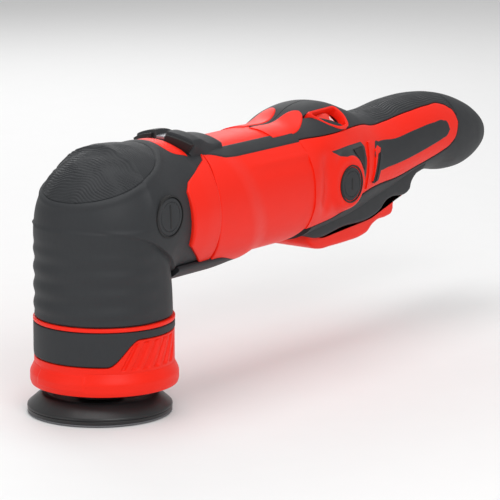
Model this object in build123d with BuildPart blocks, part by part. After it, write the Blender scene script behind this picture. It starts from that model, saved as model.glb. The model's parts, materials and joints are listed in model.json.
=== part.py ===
from build123d import *
import math
import os

os.makedirs("parts", exist_ok=True)

# Dual action polisher. The origin is on the spindle axis at the pad face, +Z points up
# through the head, and +X runs rearwards from the head along the body to the handle.

# ---- driving dimensions (mm) ----
plate_diameter = 75.0        # three inch backing plate
orbit = 8.0                  # circle that the plate's own axis travels on
body_height = 98.0           # motor axis above the pad face
head_radius = 36.0           # rubber boot around the gear case
barrel_radius = 32.5         # motor housing
shell_wall = 3.0             # moulded plastic walls
rubber_skin = 1.6            # rubber moulded over the rear housing
running_gap = 0.05           # radial clearance of shafts in bores
plate_top = 11.0             # top of the backing plate's cone
skirt_bottom = 15.0
ring_height = 48.0           # underside of the accent ring
dome_rise = 38.0             # dome above the motor axis
collar_start = 36.0          # front of the collar, along the body
barrel_start = 57.0
handle_start = 146.0         # seam between the motor housing and the handle
trigger_width = 31.0
trigger_travel = 4.5         # degrees
gear_teeth = 36
pinion_teeth = 12
gear_module = 1.25

# handle sections: place along the body, top, bottom, half width
handle_sections = [
    (handle_start, body_height + barrel_radius, body_height - barrel_radius, barrel_radius),
    (158.0, 136.5, 66.0, 32.2),
    (172.0, 138.5, 67.0, 31.2),
    (186.0, 137.0, 68.0, 29.5),
    (200.0, 132.5, 70.0, 27.5),
    (214.0, 127.5, 73.0, 25.5),
    (236.0, 126.5, 77.5, 24.0),
    (260.0, 129.0, 83.0, 23.0),
    (284.0, 129.5, 86.0, 22.5),
    (304.0, 126.7, 82.5, 21.5),
    (318.0, 123.0, 83.0, 19.5),
    (330.0, 118.0, 86.5, 16.5),
    (340.0, 111.5, 91.5, 12.0),
    (347.0, 105.0, 96.0, 6.5),
]
handle_end = handle_sections[-1][0]


def keep(piece, node):
    """Name a finished piece and write it."""
    piece.part.label = node
    export_step(piece.part, f"parts/{node}.step")


def across(x, y=0.0, z=0.0):
    """Plane across the body at x: its X is the row's +Y and its Y is the row's +Z."""
    return Plane(origin=(x, y, z), x_dir=(0, 1, 0), z_dir=(1, 0, 0))


def side(y=0.0):
    """Side elevation plane: its X is the row's +X and its Y is the row's +Z."""
    return Plane(origin=(0, y, 0), x_dir=(1, 0, 0), z_dir=(0, -1, 0))


spindle_axis = Axis((0, 0, 0), (0, 0, 1))
motor_axis = Axis((0, 0, body_height), (1, 0, 0))
plate_axis_x = -orbit / 2
plate_radius = plate_diameter / 2


def turned(points, axis):
    """A turned piece from its half section, given as (along, radius) from its axis."""
    upright = axis.direction.Z > 0.5
    with BuildPart() as piece:
        with BuildSketch(Plane.XZ if upright else side()):
            with BuildLine():
                if upright:
                    Polyline([(axis.position.X + r, a) for a, r in points], close=True)
                else:
                    Polyline([(a, axis.position.Z + r) for a, r in points], close=True)
            make_face()
        revolve(axis=axis)
    return piece


def ball_bearing(face, bore_radius, outer_radius, width, balls):
    """Sealed ball bearing; face is the plane of its lower side, centred on its axis."""
    middle = (bore_radius + outer_radius) / 2
    ball_radius = (outer_radius - bore_radius) * 0.27
    ring_gap = 0.1
    shield = 0.6
    with BuildPart() as bearing:
        with BuildSketch(face):
            Circle(outer_radius)
            Circle(middle + ball_radius + ring_gap, mode=Mode.SUBTRACT)
        extrude(amount=width)
        with BuildSketch(face):
            Circle(middle - ball_radius - ring_gap)
            Circle(bore_radius, mode=Mode.SUBTRACT)
        extrude(amount=width)
        for lift in (0.0, width - shield):
            with BuildSketch(face.offset(lift)):
                Circle(middle + ball_radius + ring_gap)
                Circle(middle - ball_radius, mode=Mode.SUBTRACT)
            extrude(amount=shield)
        with Locations(face.offset(width / 2)):
            with PolarLocations(middle, balls):
                Sphere(min(ball_radius, width / 2 - shield - ring_gap))
    return bearing


def side_region(outline, depth=60.0):
    """Everything inside a closed outline of the side elevation, across the whole body."""
    with BuildPart() as region:
        with BuildSketch(side()):
            with BuildLine():
                outline()
            make_face()
        extrude(amount=depth, both=True)
    return region


# ======== plate that carries the pad; it turns freely about its own axis ========
hook_thickness = 1.2
foam_top = 3.2
bolt_radius = 4.0
bolt_head_radius = 6.5
key_hole_radius = 3.1        # lets the hex key through to the bolt
stub_radius = 6.0
stub_top = 38.0
hub_top = 16.0
cone_top_radius = plate_radius - (plate_top - foam_top)
plate_axis = Axis((plate_axis_x, 0, 0), (0, 0, 1))
plate_centre = Plane.XY.move(Location((plate_axis_x, 0, 0)))

with BuildPart() as hook_disc:
    with BuildSketch(plate_centre):
        Circle(plate_radius)
        Circle(key_hole_radius, mode=Mode.SUBTRACT)
    extrude(amount=hook_thickness)
keep(hook_disc, "hook_disc")

with BuildPart() as plate_foam:
    with BuildSketch(plate_centre.offset(hook_thickness)):
        Circle(plate_radius)
        Circle(key_hole_radius, mode=Mode.SUBTRACT)
    extrude(amount=foam_top - hook_thickness)
keep(plate_foam, "plate_foam")

plate_hub_radius = 12.0
plate_blank = turned([
    (foam_top, bolt_radius + running_gap),
    (foam_top, plate_radius),
    (plate_top, cone_top_radius),
    (plate_top, cone_top_radius - shell_wall),
    (plate_top - shell_wall, cone_top_radius - 2 * shell_wall),
    (plate_top - shell_wall, plate_hub_radius),
    (hub_top, plate_hub_radius),
    (hub_top, bolt_radius + running_gap),
], plate_axis)
with BuildPart() as backing_plate:
    add(plate_blank.part)
    with BuildSketch(plate_centre.offset(foam_top)):
        Circle(bolt_head_radius + 1)
    extrude(amount=plate_top - foam_top - shell_wall, mode=Mode.SUBTRACT)
    with Locations(plate_centre.offset(plate_top)):
        with PolarLocations(plate_radius - 3.4, 6, start_angle=30):
            Cylinder(1.6, 2 * (plate_top - foam_top - 1), mode=Mode.SUBTRACT)
keep(backing_plate, "backing_plate")

bolt_seat = plate_top - shell_wall
bolt_end = hub_top + 10
with BuildPart() as plate_bolt:
    with BuildSketch(plate_centre.offset(bolt_seat - 4)):
        Circle(bolt_head_radius)
        RegularPolygon(3.4, 6, mode=Mode.SUBTRACT)
    extrude(amount=3)
    with BuildSketch(plate_centre.offset(bolt_seat - 1)):
        Circle(bolt_head_radius)
    extrude(amount=1)
    with BuildSketch(plate_centre.offset(bolt_seat)):
        Circle(bolt_radius)
    extrude(amount=bolt_end - bolt_seat)
keep(plate_bolt, "plate_bolt")

stub_flange = 3.0
stub_spindle = turned([
    (hub_top, bolt_radius + running_gap),
    (hub_top, stub_radius + 3),
    (hub_top + stub_flange, stub_radius + 3),
    (hub_top + stub_flange, stub_radius),
    (stub_top, stub_radius),
    (stub_top, 0),
    (bolt_end + 1, 0),
    (bolt_end + 1, bolt_radius + running_gap),
], plate_axis)
keep(stub_spindle, "stub_spindle")

# ======== eccentric carrier and main spindle ========
bearing_outer = 14.0
bearing_width = 8.0
carrier_bottom = 20.0
web_bottom = 39.0
web_top = 44.0
weight_radius = 30.5
spindle_flange = 8.0
lower_bearing_radius = 7.5
lower_bearing_outer = 16.0
lower_bearing_bottom = 50.0
lower_bearing_width = 9.0
gear_bore = 7.0
upper_journal = 5.0
spindle_top = body_height + 14

with BuildPart() as counterweight:
    with BuildSketch(plate_centre.offset(carrier_bottom)):
        Circle(bearing_outer + 4)
    extrude(amount=web_top - carrier_bottom)
    with BuildSketch(Plane.XY.offset(carrier_bottom + 3)):
        Circle(weight_radius)
        with Locations((-plate_radius, 0)):
            Rectangle(2 * plate_radius - 12, 4 * plate_radius, mode=Mode.SUBTRACT)
    extrude(amount=13)
    with BuildSketch(plate_centre.offset(carrier_bottom)):
        Circle(bearing_outer)
    extrude(amount=web_bottom - 0.5 - carrier_bottom, mode=Mode.SUBTRACT)
    with BuildSketch(Plane.XY.offset(web_bottom - 1)):
        Circle(spindle_flange)
    extrude(amount=web_top - web_bottom + 2, mode=Mode.SUBTRACT)
keep(counterweight, "counterweight")

with BuildPart() as eccentric_bearings:
    for level in (carrier_bottom + 1.5, carrier_bottom + 1.5 + bearing_width + 0.5):
        bearing = ball_bearing(plate_centre.offset(level), stub_radius + running_gap,
                               bearing_outer, bearing_width, 8)
        add(bearing.part)
keep(eccentric_bearings, "eccentric_bearings")

with BuildPart() as bearing_retainer:
    with BuildSketch(plate_centre.offset(carrier_bottom)):
        Circle(bearing_outer)
        Circle(bearing_outer - 2.5, mode=Mode.SUBTRACT)
        with Locations((bearing_outer, 0)):
            Rectangle(6, 5, mode=Mode.SUBTRACT)
    extrude(amount=1.2)
keep(bearing_retainer, "bearing_retainer")

main_spindle = turned([
    (web_bottom - 0.3, 0),
    (web_bottom - 0.3, spindle_flange),
    (lower_bearing_bottom - 2, spindle_flange),
    (lower_bearing_bottom - 2, lower_bearing_radius),
    (lower_bearing_bottom + lower_bearing_width + 1, lower_bearing_radius),
    (lower_bearing_bottom + lower_bearing_width + 1, gear_bore),
    (body_height - 3, gear_bore),
    (body_height - 3, upper_journal),
    (spindle_top, upper_journal),
    (spindle_top, 0),
], spindle_axis)
keep(main_spindle, "main_spindle")

# ---- bevel gears: both cones meet where the spindle axis crosses the motor axis ----
gear_radius = gear_teeth * gear_module / 2
pinion_radius = pinion_teeth * gear_module / 2
cone_length = math.hypot(gear_radius, pinion_radius)
face_width = 8.0
inner_scale = 1 - face_width / cone_length
addendum = 0.8 * gear_module
dedendum = 1.15 * gear_module
tooth_root = 1.6 * gear_module
tooth_tip = 0.55 * gear_module
apex = Vector(0, 0, body_height)
pitch_line = Vector(gear_radius, 0, -pinion_radius).normalized()
gear_up = Vector(pinion_radius, 0, gear_radius).normalized()


def bevel_tooth(up, sink):
    """One straight bevel tooth at the meshing line, rising along up, rooted sink deep."""
    with BuildPart() as tooth:
        for scale in (1.0, inner_scale):
            spot = apex + pitch_line * (cone_length * scale)
            section = Plane(origin=spot, x_dir=(0, 1, 0), z_dir=up.cross(Vector(0, 1, 0)))
            rise = 1 if section.y_dir.dot(up) > 0 else -1
            with BuildSketch(section):
                with BuildLine():
                    low = -rise * (dedendum + sink) * scale
                    high = rise * addendum * scale
                    Polyline([(-tooth_root / 2 * scale, low), (tooth_root / 2 * scale, low),
                              (tooth_tip / 2 * scale, high), (-tooth_tip / 2 * scale, high)],
                             close=True)
                make_face()
        loft()
    return tooth


root_sink = 0.4
gear_root_out = apex + pitch_line * cone_length - gear_up * dedendum
gear_root_in = apex + (pitch_line * cone_length - gear_up * dedendum) * inner_scale
gear_blank = turned([
    (body_height - 20, gear_bore),
    (body_height - 20, gear_bore + 5),
    (body_height - 13, gear_bore + 5),
    (body_height - 12, gear_root_out.X),
    (gear_root_out.Z, gear_root_out.X),
    (gear_root_in.Z, gear_root_in.X),
    (gear_root_in.Z, gear_bore),
], spindle_axis)
gear_tooth = bevel_tooth(gear_up, root_sink).part
with BuildPart() as bevel_gear:
    add(gear_blank.part)
    for turn in range(gear_teeth):
        add(gear_tooth.rotate(spindle_axis, (turn + 0.5) * 360 / gear_teeth))
keep(bevel_gear, "bevel_gear")

# ======== motor, along the body ========
shaft_end_radius = 3.0
shaft_radius = 5.0
tail_radius = 4.0
pinion_root_out = apex + pitch_line * cone_length + gear_up * dedendum
pinion_root_in = apex + (pitch_line * cone_length + gear_up * dedendum) * inner_scale
pinion_back = pinion_root_out.X + 4
front_bearing_x = 34.0
front_bearing_outer = 13.0
fan_x = 62.0
fan_width = 10.0
stator_start = 92.0
stator_length = 48.0
stator_outer = 28.8
armature_outer = 18.6
stator_bore = 19.6
commutator_x = 166.0
commutator_length = 18.0
commutator_radius = 11.0
rear_bearing_x = 187.0
rear_bearing_outer = 11.0
rear_bearing_width = 7.0

pinion_blank = turned([
    (pinion_root_in.X, shaft_end_radius),
    (pinion_root_in.X, body_height - pinion_root_in.Z),
    (pinion_root_out.X, body_height - pinion_root_out.Z),
    (pinion_back, body_height - pinion_root_out.Z),
    (pinion_back, shaft_end_radius),
], motor_axis)
pinion_tooth = bevel_tooth(gear_up * -1, root_sink).part
with BuildPart() as pinion:
    add(pinion_blank.part)
    for turn in range(pinion_teeth):
        add(pinion_tooth.rotate(motor_axis, turn * 360 / pinion_teeth))
keep(pinion, "pinion")

nut_width = 3.0
nut_x = pinion_root_in.X - nut_width - 0.6
with BuildPart() as pinion_nut:
    with BuildSketch(across(nut_x, 0, body_height)):
        RegularPolygon(4.4, 6)
        Circle(shaft_end_radius, mode=Mode.SUBTRACT)
    extrude(amount=nut_width)
keep(pinion_nut, "pinion_nut")

armature_shaft = turned([
    (nut_x - 0.8, 0),
    (nut_x - 0.8, shaft_end_radius),
    (pinion_back, shaft_end_radius),
    (pinion_back, shaft_radius),
    (rear_bearing_x - 1, shaft_radius),
    (rear_bearing_x - 1, tail_radius),
    (rear_bearing_x + rear_bearing_width, tail_radius),
    (rear_bearing_x + rear_bearing_width, 0),
], motor_axis)
keep(armature_shaft, "armature_shaft")

with BuildPart() as fan:
    with BuildSketch(across(fan_x - 2, 0, body_height)):
        Circle(9)
    extrude(amount=fan_width + 2)
    with BuildSketch(across(fan_x + fan_width - 1.2, 0, body_height)):
        Circle(26)
    extrude(amount=1.2)
    with Locations(across(fan_x + fan_width / 2, 0, body_height)):
        with PolarLocations(17, 11):
            Box(17, 1.4, fan_width, rotation=(0, 0, 25))
    with BuildSketch(across(fan_x - 3, 0, body_height)):
        Circle(shaft_radius)
    extrude(amount=fan_width + 4, mode=Mode.SUBTRACT)
keep(fan, "fan")

slot_count = 12
slot_width = 3.4
with BuildPart() as armature_core:
    with BuildSketch(across(stator_start, 0, body_height)):
        Circle(armature_outer)
        Circle(shaft_radius, mode=Mode.SUBTRACT)
        with PolarLocations(14, slot_count):
            Rectangle(7, slot_width, mode=Mode.SUBTRACT)
        with PolarLocations(armature_outer, slot_count):
            Rectangle(4, 1.2, mode=Mode.SUBTRACT)
    extrude(amount=stator_length)
keep(armature_core, "armature_core")

winding_end = 7.0
with BuildPart() as armature_windings:
    with BuildSketch(across(stator_start - winding_end, 0, body_height)):
        with PolarLocations(14, slot_count):
            Rectangle(6.8, slot_width - 0.2)
    extrude(amount=stator_length + 2 * winding_end)
    for start in (stator_start - winding_end, stator_start + stator_length):
        with BuildSketch(side()):
            with Locations((start + winding_end / 2, body_height + 11.7)):
                RectangleRounded(winding_end, 11.4, 2.5)
        revolve(axis=motor_axis)
keep(armature_windings, "armature_windings")

with BuildPart() as commutator:
    with BuildSketch(across(commutator_x, 0, body_height)):
        Circle(commutator_radius)
        Circle(shaft_radius, mode=Mode.SUBTRACT)
        with PolarLocations(commutator_radius, 2 * slot_count):
            Rectangle(1.6, 0.5, mode=Mode.SUBTRACT)
    extrude(amount=commutator_length)
    with BuildSketch(across(commutator_x - 2, 0, body_height)):
        Circle(commutator_radius + 1.5)
        Circle(shaft_radius, mode=Mode.SUBTRACT)
    extrude(amount=2)
keep(commutator, "commutator")

# ======== fixed motor parts ========
coil_centre = 22.6
coil_depth = 6.0
coil_width = 8.0
with BuildPart() as stator_core:
    with BuildSketch(across(stator_start, 0, body_height)):
        Circle(stator_outer)
        Circle(stator_bore, mode=Mode.SUBTRACT)
        with PolarLocations(coil_centre, 4, start_angle=45):
            Rectangle(coil_depth + 0.4, coil_width + 0.4, mode=Mode.SUBTRACT)
    extrude(amount=stator_length)
keep(stator_core, "stator_core")

coil_end = 6.0
with BuildPart() as field_windings:
    with BuildSketch(across(stator_start - coil_end, 0, body_height)):
        with PolarLocations(coil_centre, 4, start_angle=45):
            Rectangle(coil_depth, coil_width)
    extrude(amount=stator_length + 2 * coil_end)
    for start in (stator_start - coil_end, stator_start + stator_length + 0.2):
        with BuildSketch(across(start, 0, body_height)):
            Circle(coil_centre + coil_depth / 2)
            Circle(coil_centre - coil_depth / 2, mode=Mode.SUBTRACT)
            Rectangle(2 * coil_centre + 2 * coil_depth, 1.3 * coil_centre, mode=Mode.SUBTRACT)
        extrude(amount=coil_end - 0.2)
keep(field_windings, "field_windings")

front_bearing = ball_bearing(across(front_bearing_x, 0, body_height), shaft_radius + running_gap,
                             front_bearing_outer, bearing_width, 7)
keep(front_bearing, "front_bearing")

rear_bearing = ball_bearing(across(rear_bearing_x, 0, body_height), tail_radius + running_gap,
                            rear_bearing_outer, rear_bearing_width, 7)
keep(rear_bearing, "rear_bearing")

spindle_bearing = ball_bearing(Plane.XY.offset(lower_bearing_bottom),
                               lower_bearing_radius + running_gap, lower_bearing_outer,
                               lower_bearing_width, 9)
keep(spindle_bearing, "spindle_bearing")

bush_bottom = body_height + 6
bush_outer = 8.0
with BuildPart() as spindle_bush:
    with BuildSketch(Plane.XY.offset(bush_bottom)):
        Circle(bush_outer)
        Circle(upper_journal + running_gap, mode=Mode.SUBTRACT)
    extrude(amount=spindle_top - bush_bottom - 1)
keep(spindle_bush, "spindle_bush")

# ======== gear case in the head ========
case_radius = head_radius - 3.5
case_wall = 6.5
cavity_radius = case_radius - case_wall
case_bottom = 62.0
case_top = body_height + 20
neck_radius = 29.0
neck_end = barrel_start - 4
cover_bottom = 46.0
cover_screw_circle = (cavity_radius + case_radius) / 2
cover_screw_radius = 1.6

# ---- slotted plugs that close the side handle threads ----
plug_x = 9.5
plug_z = body_height + 5.5
plug_radius = 9.8
plug_stem = 7.0
plug_face = head_radius + 0.2
plug_bottom = cavity_radius + 1.0

with BuildPart() as gear_case:
    with BuildSketch(Plane.XY.offset(case_bottom)):
        Circle(case_radius)
    extrude(amount=case_top - case_bottom)
    fillet(gear_case.faces().sort_by(Axis.Z)[-1].edges(), 14)
    with BuildSketch(across(0, 0, body_height)):
        Circle(neck_radius)
    extrude(amount=neck_end)
    with BuildSketch(Plane.XY.offset(case_bottom)):
        Circle(cavity_radius)
    extrude(amount=bush_bottom - case_bottom, mode=Mode.SUBTRACT)
    with BuildSketch(Plane.XY.offset(bush_bottom)):
        Circle(bush_outer)
    extrude(amount=spindle_top + 1 - bush_bottom, mode=Mode.SUBTRACT)
    with BuildSketch(across(bush_outer + 3.5, 0, body_height)):
        Circle(front_bearing_outer - 2.5)
    extrude(amount=neck_end, mode=Mode.SUBTRACT)
    with BuildSketch(across(front_bearing_x, 0, body_height)):
        Circle(front_bearing_outer)
    extrude(amount=neck_end, mode=Mode.SUBTRACT)
    with BuildSketch(across(neck_end - 6, 0, body_height)):
        Circle(neck_radius - 4)
    extrude(amount=neck_end, mode=Mode.SUBTRACT)
    for hand in (-1, 1):
        with BuildSketch(Plane(origin=(plug_x, hand * plug_bottom, plug_z), x_dir=(1, 0, 0),
                               z_dir=(0, hand, 0))):
            Circle(plug_stem + running_gap)
        extrude(amount=head_radius, mode=Mode.SUBTRACT)
    with BuildSketch(Plane.XY.offset(case_bottom)):
        with PolarLocations(cover_screw_circle, 4, start_angle=45):
            Circle(cover_screw_radius + running_gap)
    extrude(amount=9, mode=Mode.SUBTRACT)
keep(gear_case, "gear_case")

with BuildPart() as side_plugs:
    for hand in (-1, 1):
        with BuildSketch(Plane(origin=(plug_x, hand * plug_face, plug_z), x_dir=(1, 0, 0),
                               z_dir=(0, -hand, 0))):
            Circle(plug_radius)
        extrude(amount=plug_face - case_radius)
        with BuildSketch(Plane(origin=(plug_x, hand * case_radius, plug_z), x_dir=(1, 0, 0),
                               z_dir=(0, -hand, 0))):
            Circle(plug_stem)
        extrude(amount=case_radius - plug_bottom)
        with Locations((plug_x, hand * plug_face, plug_z)):
            Box(2.0, 2.4, 12, mode=Mode.SUBTRACT)
keep(side_plugs, "side_plugs")

with BuildPart() as bearing_plate:
    with BuildSketch(Plane.XY.offset(cover_bottom)):
        Circle(case_radius)
        Circle(spindle_flange + 1.5, mode=Mode.SUBTRACT)
        with PolarLocations(cover_screw_circle, 4, start_angle=45):
            Circle(cover_screw_radius + running_gap, mode=Mode.SUBTRACT)
    extrude(amount=case_bottom - cover_bottom)
    with BuildSketch(Plane.XY.offset(lower_bearing_bottom)):
        Circle(lower_bearing_outer)
    extrude(amount=case_bottom - lower_bearing_bottom, mode=Mode.SUBTRACT)
    with BuildSketch(Plane.XY.offset(case_bottom)):
        Circle(cavity_radius - 0.1)
        Circle(lower_bearing_outer, mode=Mode.SUBTRACT)
    extrude(amount=3)
keep(bearing_plate, "bearing_plate")

with BuildPart() as case_screws:
    with BuildSketch(Plane.XY.offset(cover_bottom)):
        with PolarLocations(cover_screw_circle, 4, start_angle=45):
            Circle(cover_screw_radius)
    extrude(amount=case_bottom - cover_bottom + 8)
    with BuildSketch(Plane.XY.offset(cover_bottom - 1.8)):
        with PolarLocations(cover_screw_circle, 4, start_angle=45):
            Circle(cover_screw_radius + 1.4)
            RegularPolygon(1.2, 6, mode=Mode.SUBTRACT)
    extrude(amount=1.8)
keep(case_screws, "case_screws")

# ======== covers around the head ========
ring_thickness = 2.5
boot_bottom = ring_height + ring_thickness
collar_radius = 34.5
boot_wall = 3.5


def behind_collar_edge(rear):
    """Everything from the collar's six sided front edge back to rear."""
    top = body_height + 60
    low = body_height - 60
    with BuildPart() as region:
        with BuildSketch(side()):
            with BuildLine():
                Polyline([(collar_start + 6, top), (collar_start - 12, body_height + 34),
                          (collar_start + 4, body_height + 31),
                          (collar_start - 6, body_height + 20),
                          (collar_start - 5, body_height - 14),
                          (collar_start + 2, body_height - 21),
                          (collar_start + 8, low), (rear, low), (rear, top)], close=True)
            make_face()
        extrude(amount=2 * head_radius, both=True)
    return region


behind_collar = behind_collar_edge(handle_start)

with BuildPart() as head_boot:
    with BuildSketch(Plane.XY.offset(boot_bottom)):
        Circle(head_radius)
    extrude(amount=body_height - boot_bottom)
    with BuildSketch(Plane.XZ):
        with BuildLine():
            Line((0, body_height), (head_radius, body_height))
            EllipticalCenterArc((0, body_height), head_radius, dome_rise, start_angle=0, arc_size=90)
            Line((0, body_height + dome_rise), (0, body_height))
        make_face()
    revolve(axis=spindle_axis)
    with BuildSketch(across(0, 0, body_height)):
        Circle(collar_radius)
    extrude(amount=barrel_start)
    with Locations((plug_x, 0, plug_z)):
        Cylinder(plug_radius + 3, 2 * head_radius - 0.4, rotation=(90, 0, 0))
    add(behind_collar.part, mode=Mode.SUBTRACT)
    with BuildSketch(Plane.XY.offset(boot_bottom)):
        Circle(case_radius)
    extrude(amount=case_bottom - boot_bottom, mode=Mode.SUBTRACT)
    add(gear_case.part, mode=Mode.SUBTRACT)
    with BuildSketch(Plane.XY.offset(case_bottom)):
        Circle(case_radius)
    extrude(amount=body_height - case_bottom, mode=Mode.SUBTRACT)
    with BuildSketch(Plane.XZ):
        with BuildLine():
            inner_rise = dome_rise - boot_wall
            Line((0, body_height), (case_radius, body_height))
            EllipticalCenterArc((0, body_height), case_radius, inner_rise, start_angle=0,
                                arc_size=90)
            Line((0, body_height + inner_rise), (0, body_height))
        make_face()
    revolve(axis=spindle_axis, mode=Mode.SUBTRACT)
    with BuildSketch(across(0, 0, body_height)):
        Circle(neck_radius)
    extrude(amount=barrel_start, mode=Mode.SUBTRACT)
    with Locations((plug_x, 0, plug_z)):
        Cylinder(plug_radius + 0.6, 2 * head_radius + 2, rotation=(90, 0, 0),
                 mode=Mode.SUBTRACT)
keep(head_boot, "head_boot")

sleeve_radius = case_radius + 1.5
with BuildPart() as accent_ring:
    with BuildSketch(Plane.XY.offset(ring_height)):
        Circle(head_radius + 0.4)
        Circle(case_radius, mode=Mode.SUBTRACT)
    extrude(amount=ring_thickness)
keep(accent_ring, "accent_ring")

band_low = 30.0              # lower edge of the dark band at the front
band_high = 44.0             # lower edge at the sides and the rear
lip_radius = head_radius + 2.5
front_half_angle = 60.0
front_reach = head_radius * math.cos(math.radians(front_half_angle))

with BuildPart() as boot_band:
    with BuildSketch(Plane.XY.offset(band_low)):
        Circle(head_radius)
        Circle(sleeve_radius, mode=Mode.SUBTRACT)
        with Locations((lip_radius - front_reach, 0)):
            Rectangle(2 * lip_radius, 4 * lip_radius, mode=Mode.SUBTRACT)
    extrude(amount=band_high - band_low)
    with BuildSketch(Plane.XY.offset(band_high)):
        Circle(head_radius)
        Circle(sleeve_radius, mode=Mode.SUBTRACT)
    extrude(amount=ring_height - band_high)
keep(boot_band, "boot_band")

vent_count = 4
vent_pitch = 12.0            # degrees
with BuildPart() as skirt:
    with BuildSketch(Plane.XZ):
        with BuildLine():
            Polyline([(case_radius, ring_height), (case_radius, skirt_bottom + 8),
                      (lip_radius - shell_wall, skirt_bottom), (lip_radius - 0.5, skirt_bottom),
                      (lip_radius, skirt_bottom + 1.5), (lip_radius, skirt_bottom + 5),
                      (head_radius + 0.4, skirt_bottom + 10), (head_radius + 0.4, band_high),
                      (sleeve_radius, band_high), (sleeve_radius, ring_height)], close=True)
        make_face()
    revolve(axis=spindle_axis)
    with BuildSketch(Plane.XY.offset(band_low)):
        Circle(2 * lip_radius)
        Circle(sleeve_radius, mode=Mode.SUBTRACT)
        with Locations((lip_radius - front_reach, 0)):
            Rectangle(2 * lip_radius, 4 * lip_radius, mode=Mode.SUBTRACT)
    extrude(amount=band_high - band_low, mode=Mode.SUBTRACT)
    for quarter in (-90, 90):
        for place in range(vent_count):
            angle = quarter + (place - (vent_count - 1) / 2) * vent_pitch
            slot_spot = Plane(origin=(0, 0, (skirt_bottom + band_high) / 2 + 4),
                              x_dir=(-math.sin(math.radians(angle)), math.cos(math.radians(angle)), 0),
                              z_dir=(math.cos(math.radians(angle)), math.sin(math.radians(angle)), 0))
            with BuildSketch(slot_spot.offset(case_radius - 2)):
                SlotOverall(13, 3.0, rotation=62)
            extrude(amount=8, mode=Mode.SUBTRACT)
keep(skirt, "skirt")

# ======== collar, exhaust hood and motor housing ========
housing_inner = neck_radius + 0.3
collar_space = behind_collar_edge(barrel_start)
with BuildPart() as front_collar:
    with BuildSketch(across(0, 0, body_height)):
        Circle(collar_radius)
        Circle(neck_radius, mode=Mode.SUBTRACT)
    extrude(amount=barrel_start)
    add(collar_space.part, mode=Mode.INTERSECT)
    with BuildSketch(Plane.XY.offset(boot_bottom)):
        Circle(case_radius)
    extrude(amount=case_top, mode=Mode.SUBTRACT)
keep(front_collar, "front_collar")

hood_front = collar_start - 4
hood_rear = 54.0
hood_height = 7.0
hood_angle = 76.0            # degrees of arc across the top
notch_width = 7.0

with BuildPart() as vent_hood:
    with BuildSketch(across(hood_front, 0, body_height)):
        Circle(collar_radius + hood_height)
        Circle(collar_radius, mode=Mode.SUBTRACT)
        with BuildLine():
            reach = 3 * collar_radius
            tilt = math.radians(90 - hood_angle / 2)
            Polyline([(0, 0), (reach * math.cos(tilt), reach * math.sin(tilt)),
                      (-reach * math.cos(tilt), reach * math.sin(tilt))], close=True)
        make_face(mode=Mode.INTERSECT)
    extrude(amount=hood_rear - hood_front)
    with BuildSketch(side()):
        with BuildLine():
            Polyline([(hood_front + 6, body_height + collar_radius + hood_height + 1),
                      (hood_rear + 1, body_height + collar_radius + hood_height + 1),
                      (hood_rear + 1, body_height + collar_radius + 2)], close=True)
        make_face()
    extrude(amount=2 * notch_width, both=True, mode=Mode.SUBTRACT)
    with Locations((hood_front, 0, body_height + collar_radius + hood_height)):
        Box(4 * notch_width, notch_width, hood_height, mode=Mode.SUBTRACT)
    with BuildSketch(across(hood_front, 0, body_height)):
        for hand in (-1, 1):
            with Locations(Location((0, 0), 90 + hand * 21)):
                with Locations((collar_radius + hood_height / 2, 0)):
                    Rectangle(hood_height - 3, 17)
    extrude(amount=10, mode=Mode.SUBTRACT)
keep(vent_hood, "vent_hood")

shoulder_x = 80.0
shoulder_end = 94.0
bulge_radius = barrel_radius + 2.5
spigot_length = 10.0
spigot_radius = 30.4
spigot_gap = 1.2             # between the spigot and the shells around it
barrel_blank = turned([
    (barrel_start, housing_inner),
    (barrel_start, bulge_radius),
    (shoulder_x, bulge_radius),
    (shoulder_end, barrel_radius),
    (handle_start, barrel_radius),
    (handle_start, spigot_radius),
    (handle_start + spigot_length, spigot_radius),
    (handle_start + spigot_length, housing_inner),
], motor_axis)

rail_angle = 16.0            # degrees of arc covered by each rail
rail_lean = 34.0             # degrees from the top of the barrel
rail_depth = 1.2


def rail_points(hand, radius):
    """Triangle from the motor axis out over one rail, to radius."""
    low = math.radians(90 + hand * (rail_lean + rail_angle / 2))
    high = math.radians(90 + hand * (rail_lean - rail_angle / 2))
    return [(0, 0), (radius * math.cos(low), radius * math.sin(low)),
            (radius * math.cos(high), radius * math.sin(high))]


with BuildPart() as top_rails:
    with BuildSketch(across(shoulder_end, 0, body_height)):
        for hand in (-1, 1):
            with BuildLine():
                Polyline(rail_points(hand, 2 * barrel_radius), close=True)
            make_face()
        Circle(barrel_radius + 0.5, mode=Mode.INTERSECT)
        Circle(barrel_radius - rail_depth, mode=Mode.SUBTRACT)
    extrude(amount=handle_start - shoulder_end)
keep(top_rails, "top_rails")

guard_angle = 70.0
with BuildPart() as underside_guard:
    with BuildSketch(across(barrel_start, 0, body_height)):
        Circle(bulge_radius + 0.8)
        Circle(bulge_radius, mode=Mode.SUBTRACT)
        with BuildLine():
            reach = 3 * collar_radius
            tilt = math.radians(-90 + guard_angle / 2)
            Polyline([(0, 0), (reach * math.cos(tilt), reach * math.sin(tilt)),
                      (-reach * math.cos(tilt), reach * math.sin(tilt))], close=True)
        make_face(mode=Mode.INTERSECT)
    extrude(amount=shoulder_x - barrel_start)
keep(underside_guard, "underside_guard")

with BuildPart() as motor_housing:
    add(barrel_blank.part)
    with BuildSketch(across(shoulder_end, 0, body_height)):
        for hand in (-1, 1):
            with BuildLine():
                Polyline(rail_points(hand, 2 * barrel_radius), close=True)
            make_face()
        Circle(barrel_radius - rail_depth, mode=Mode.SUBTRACT)
    extrude(amount=handle_start - shoulder_end, mode=Mode.SUBTRACT)
keep(motor_housing, "motor_housing")

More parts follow.
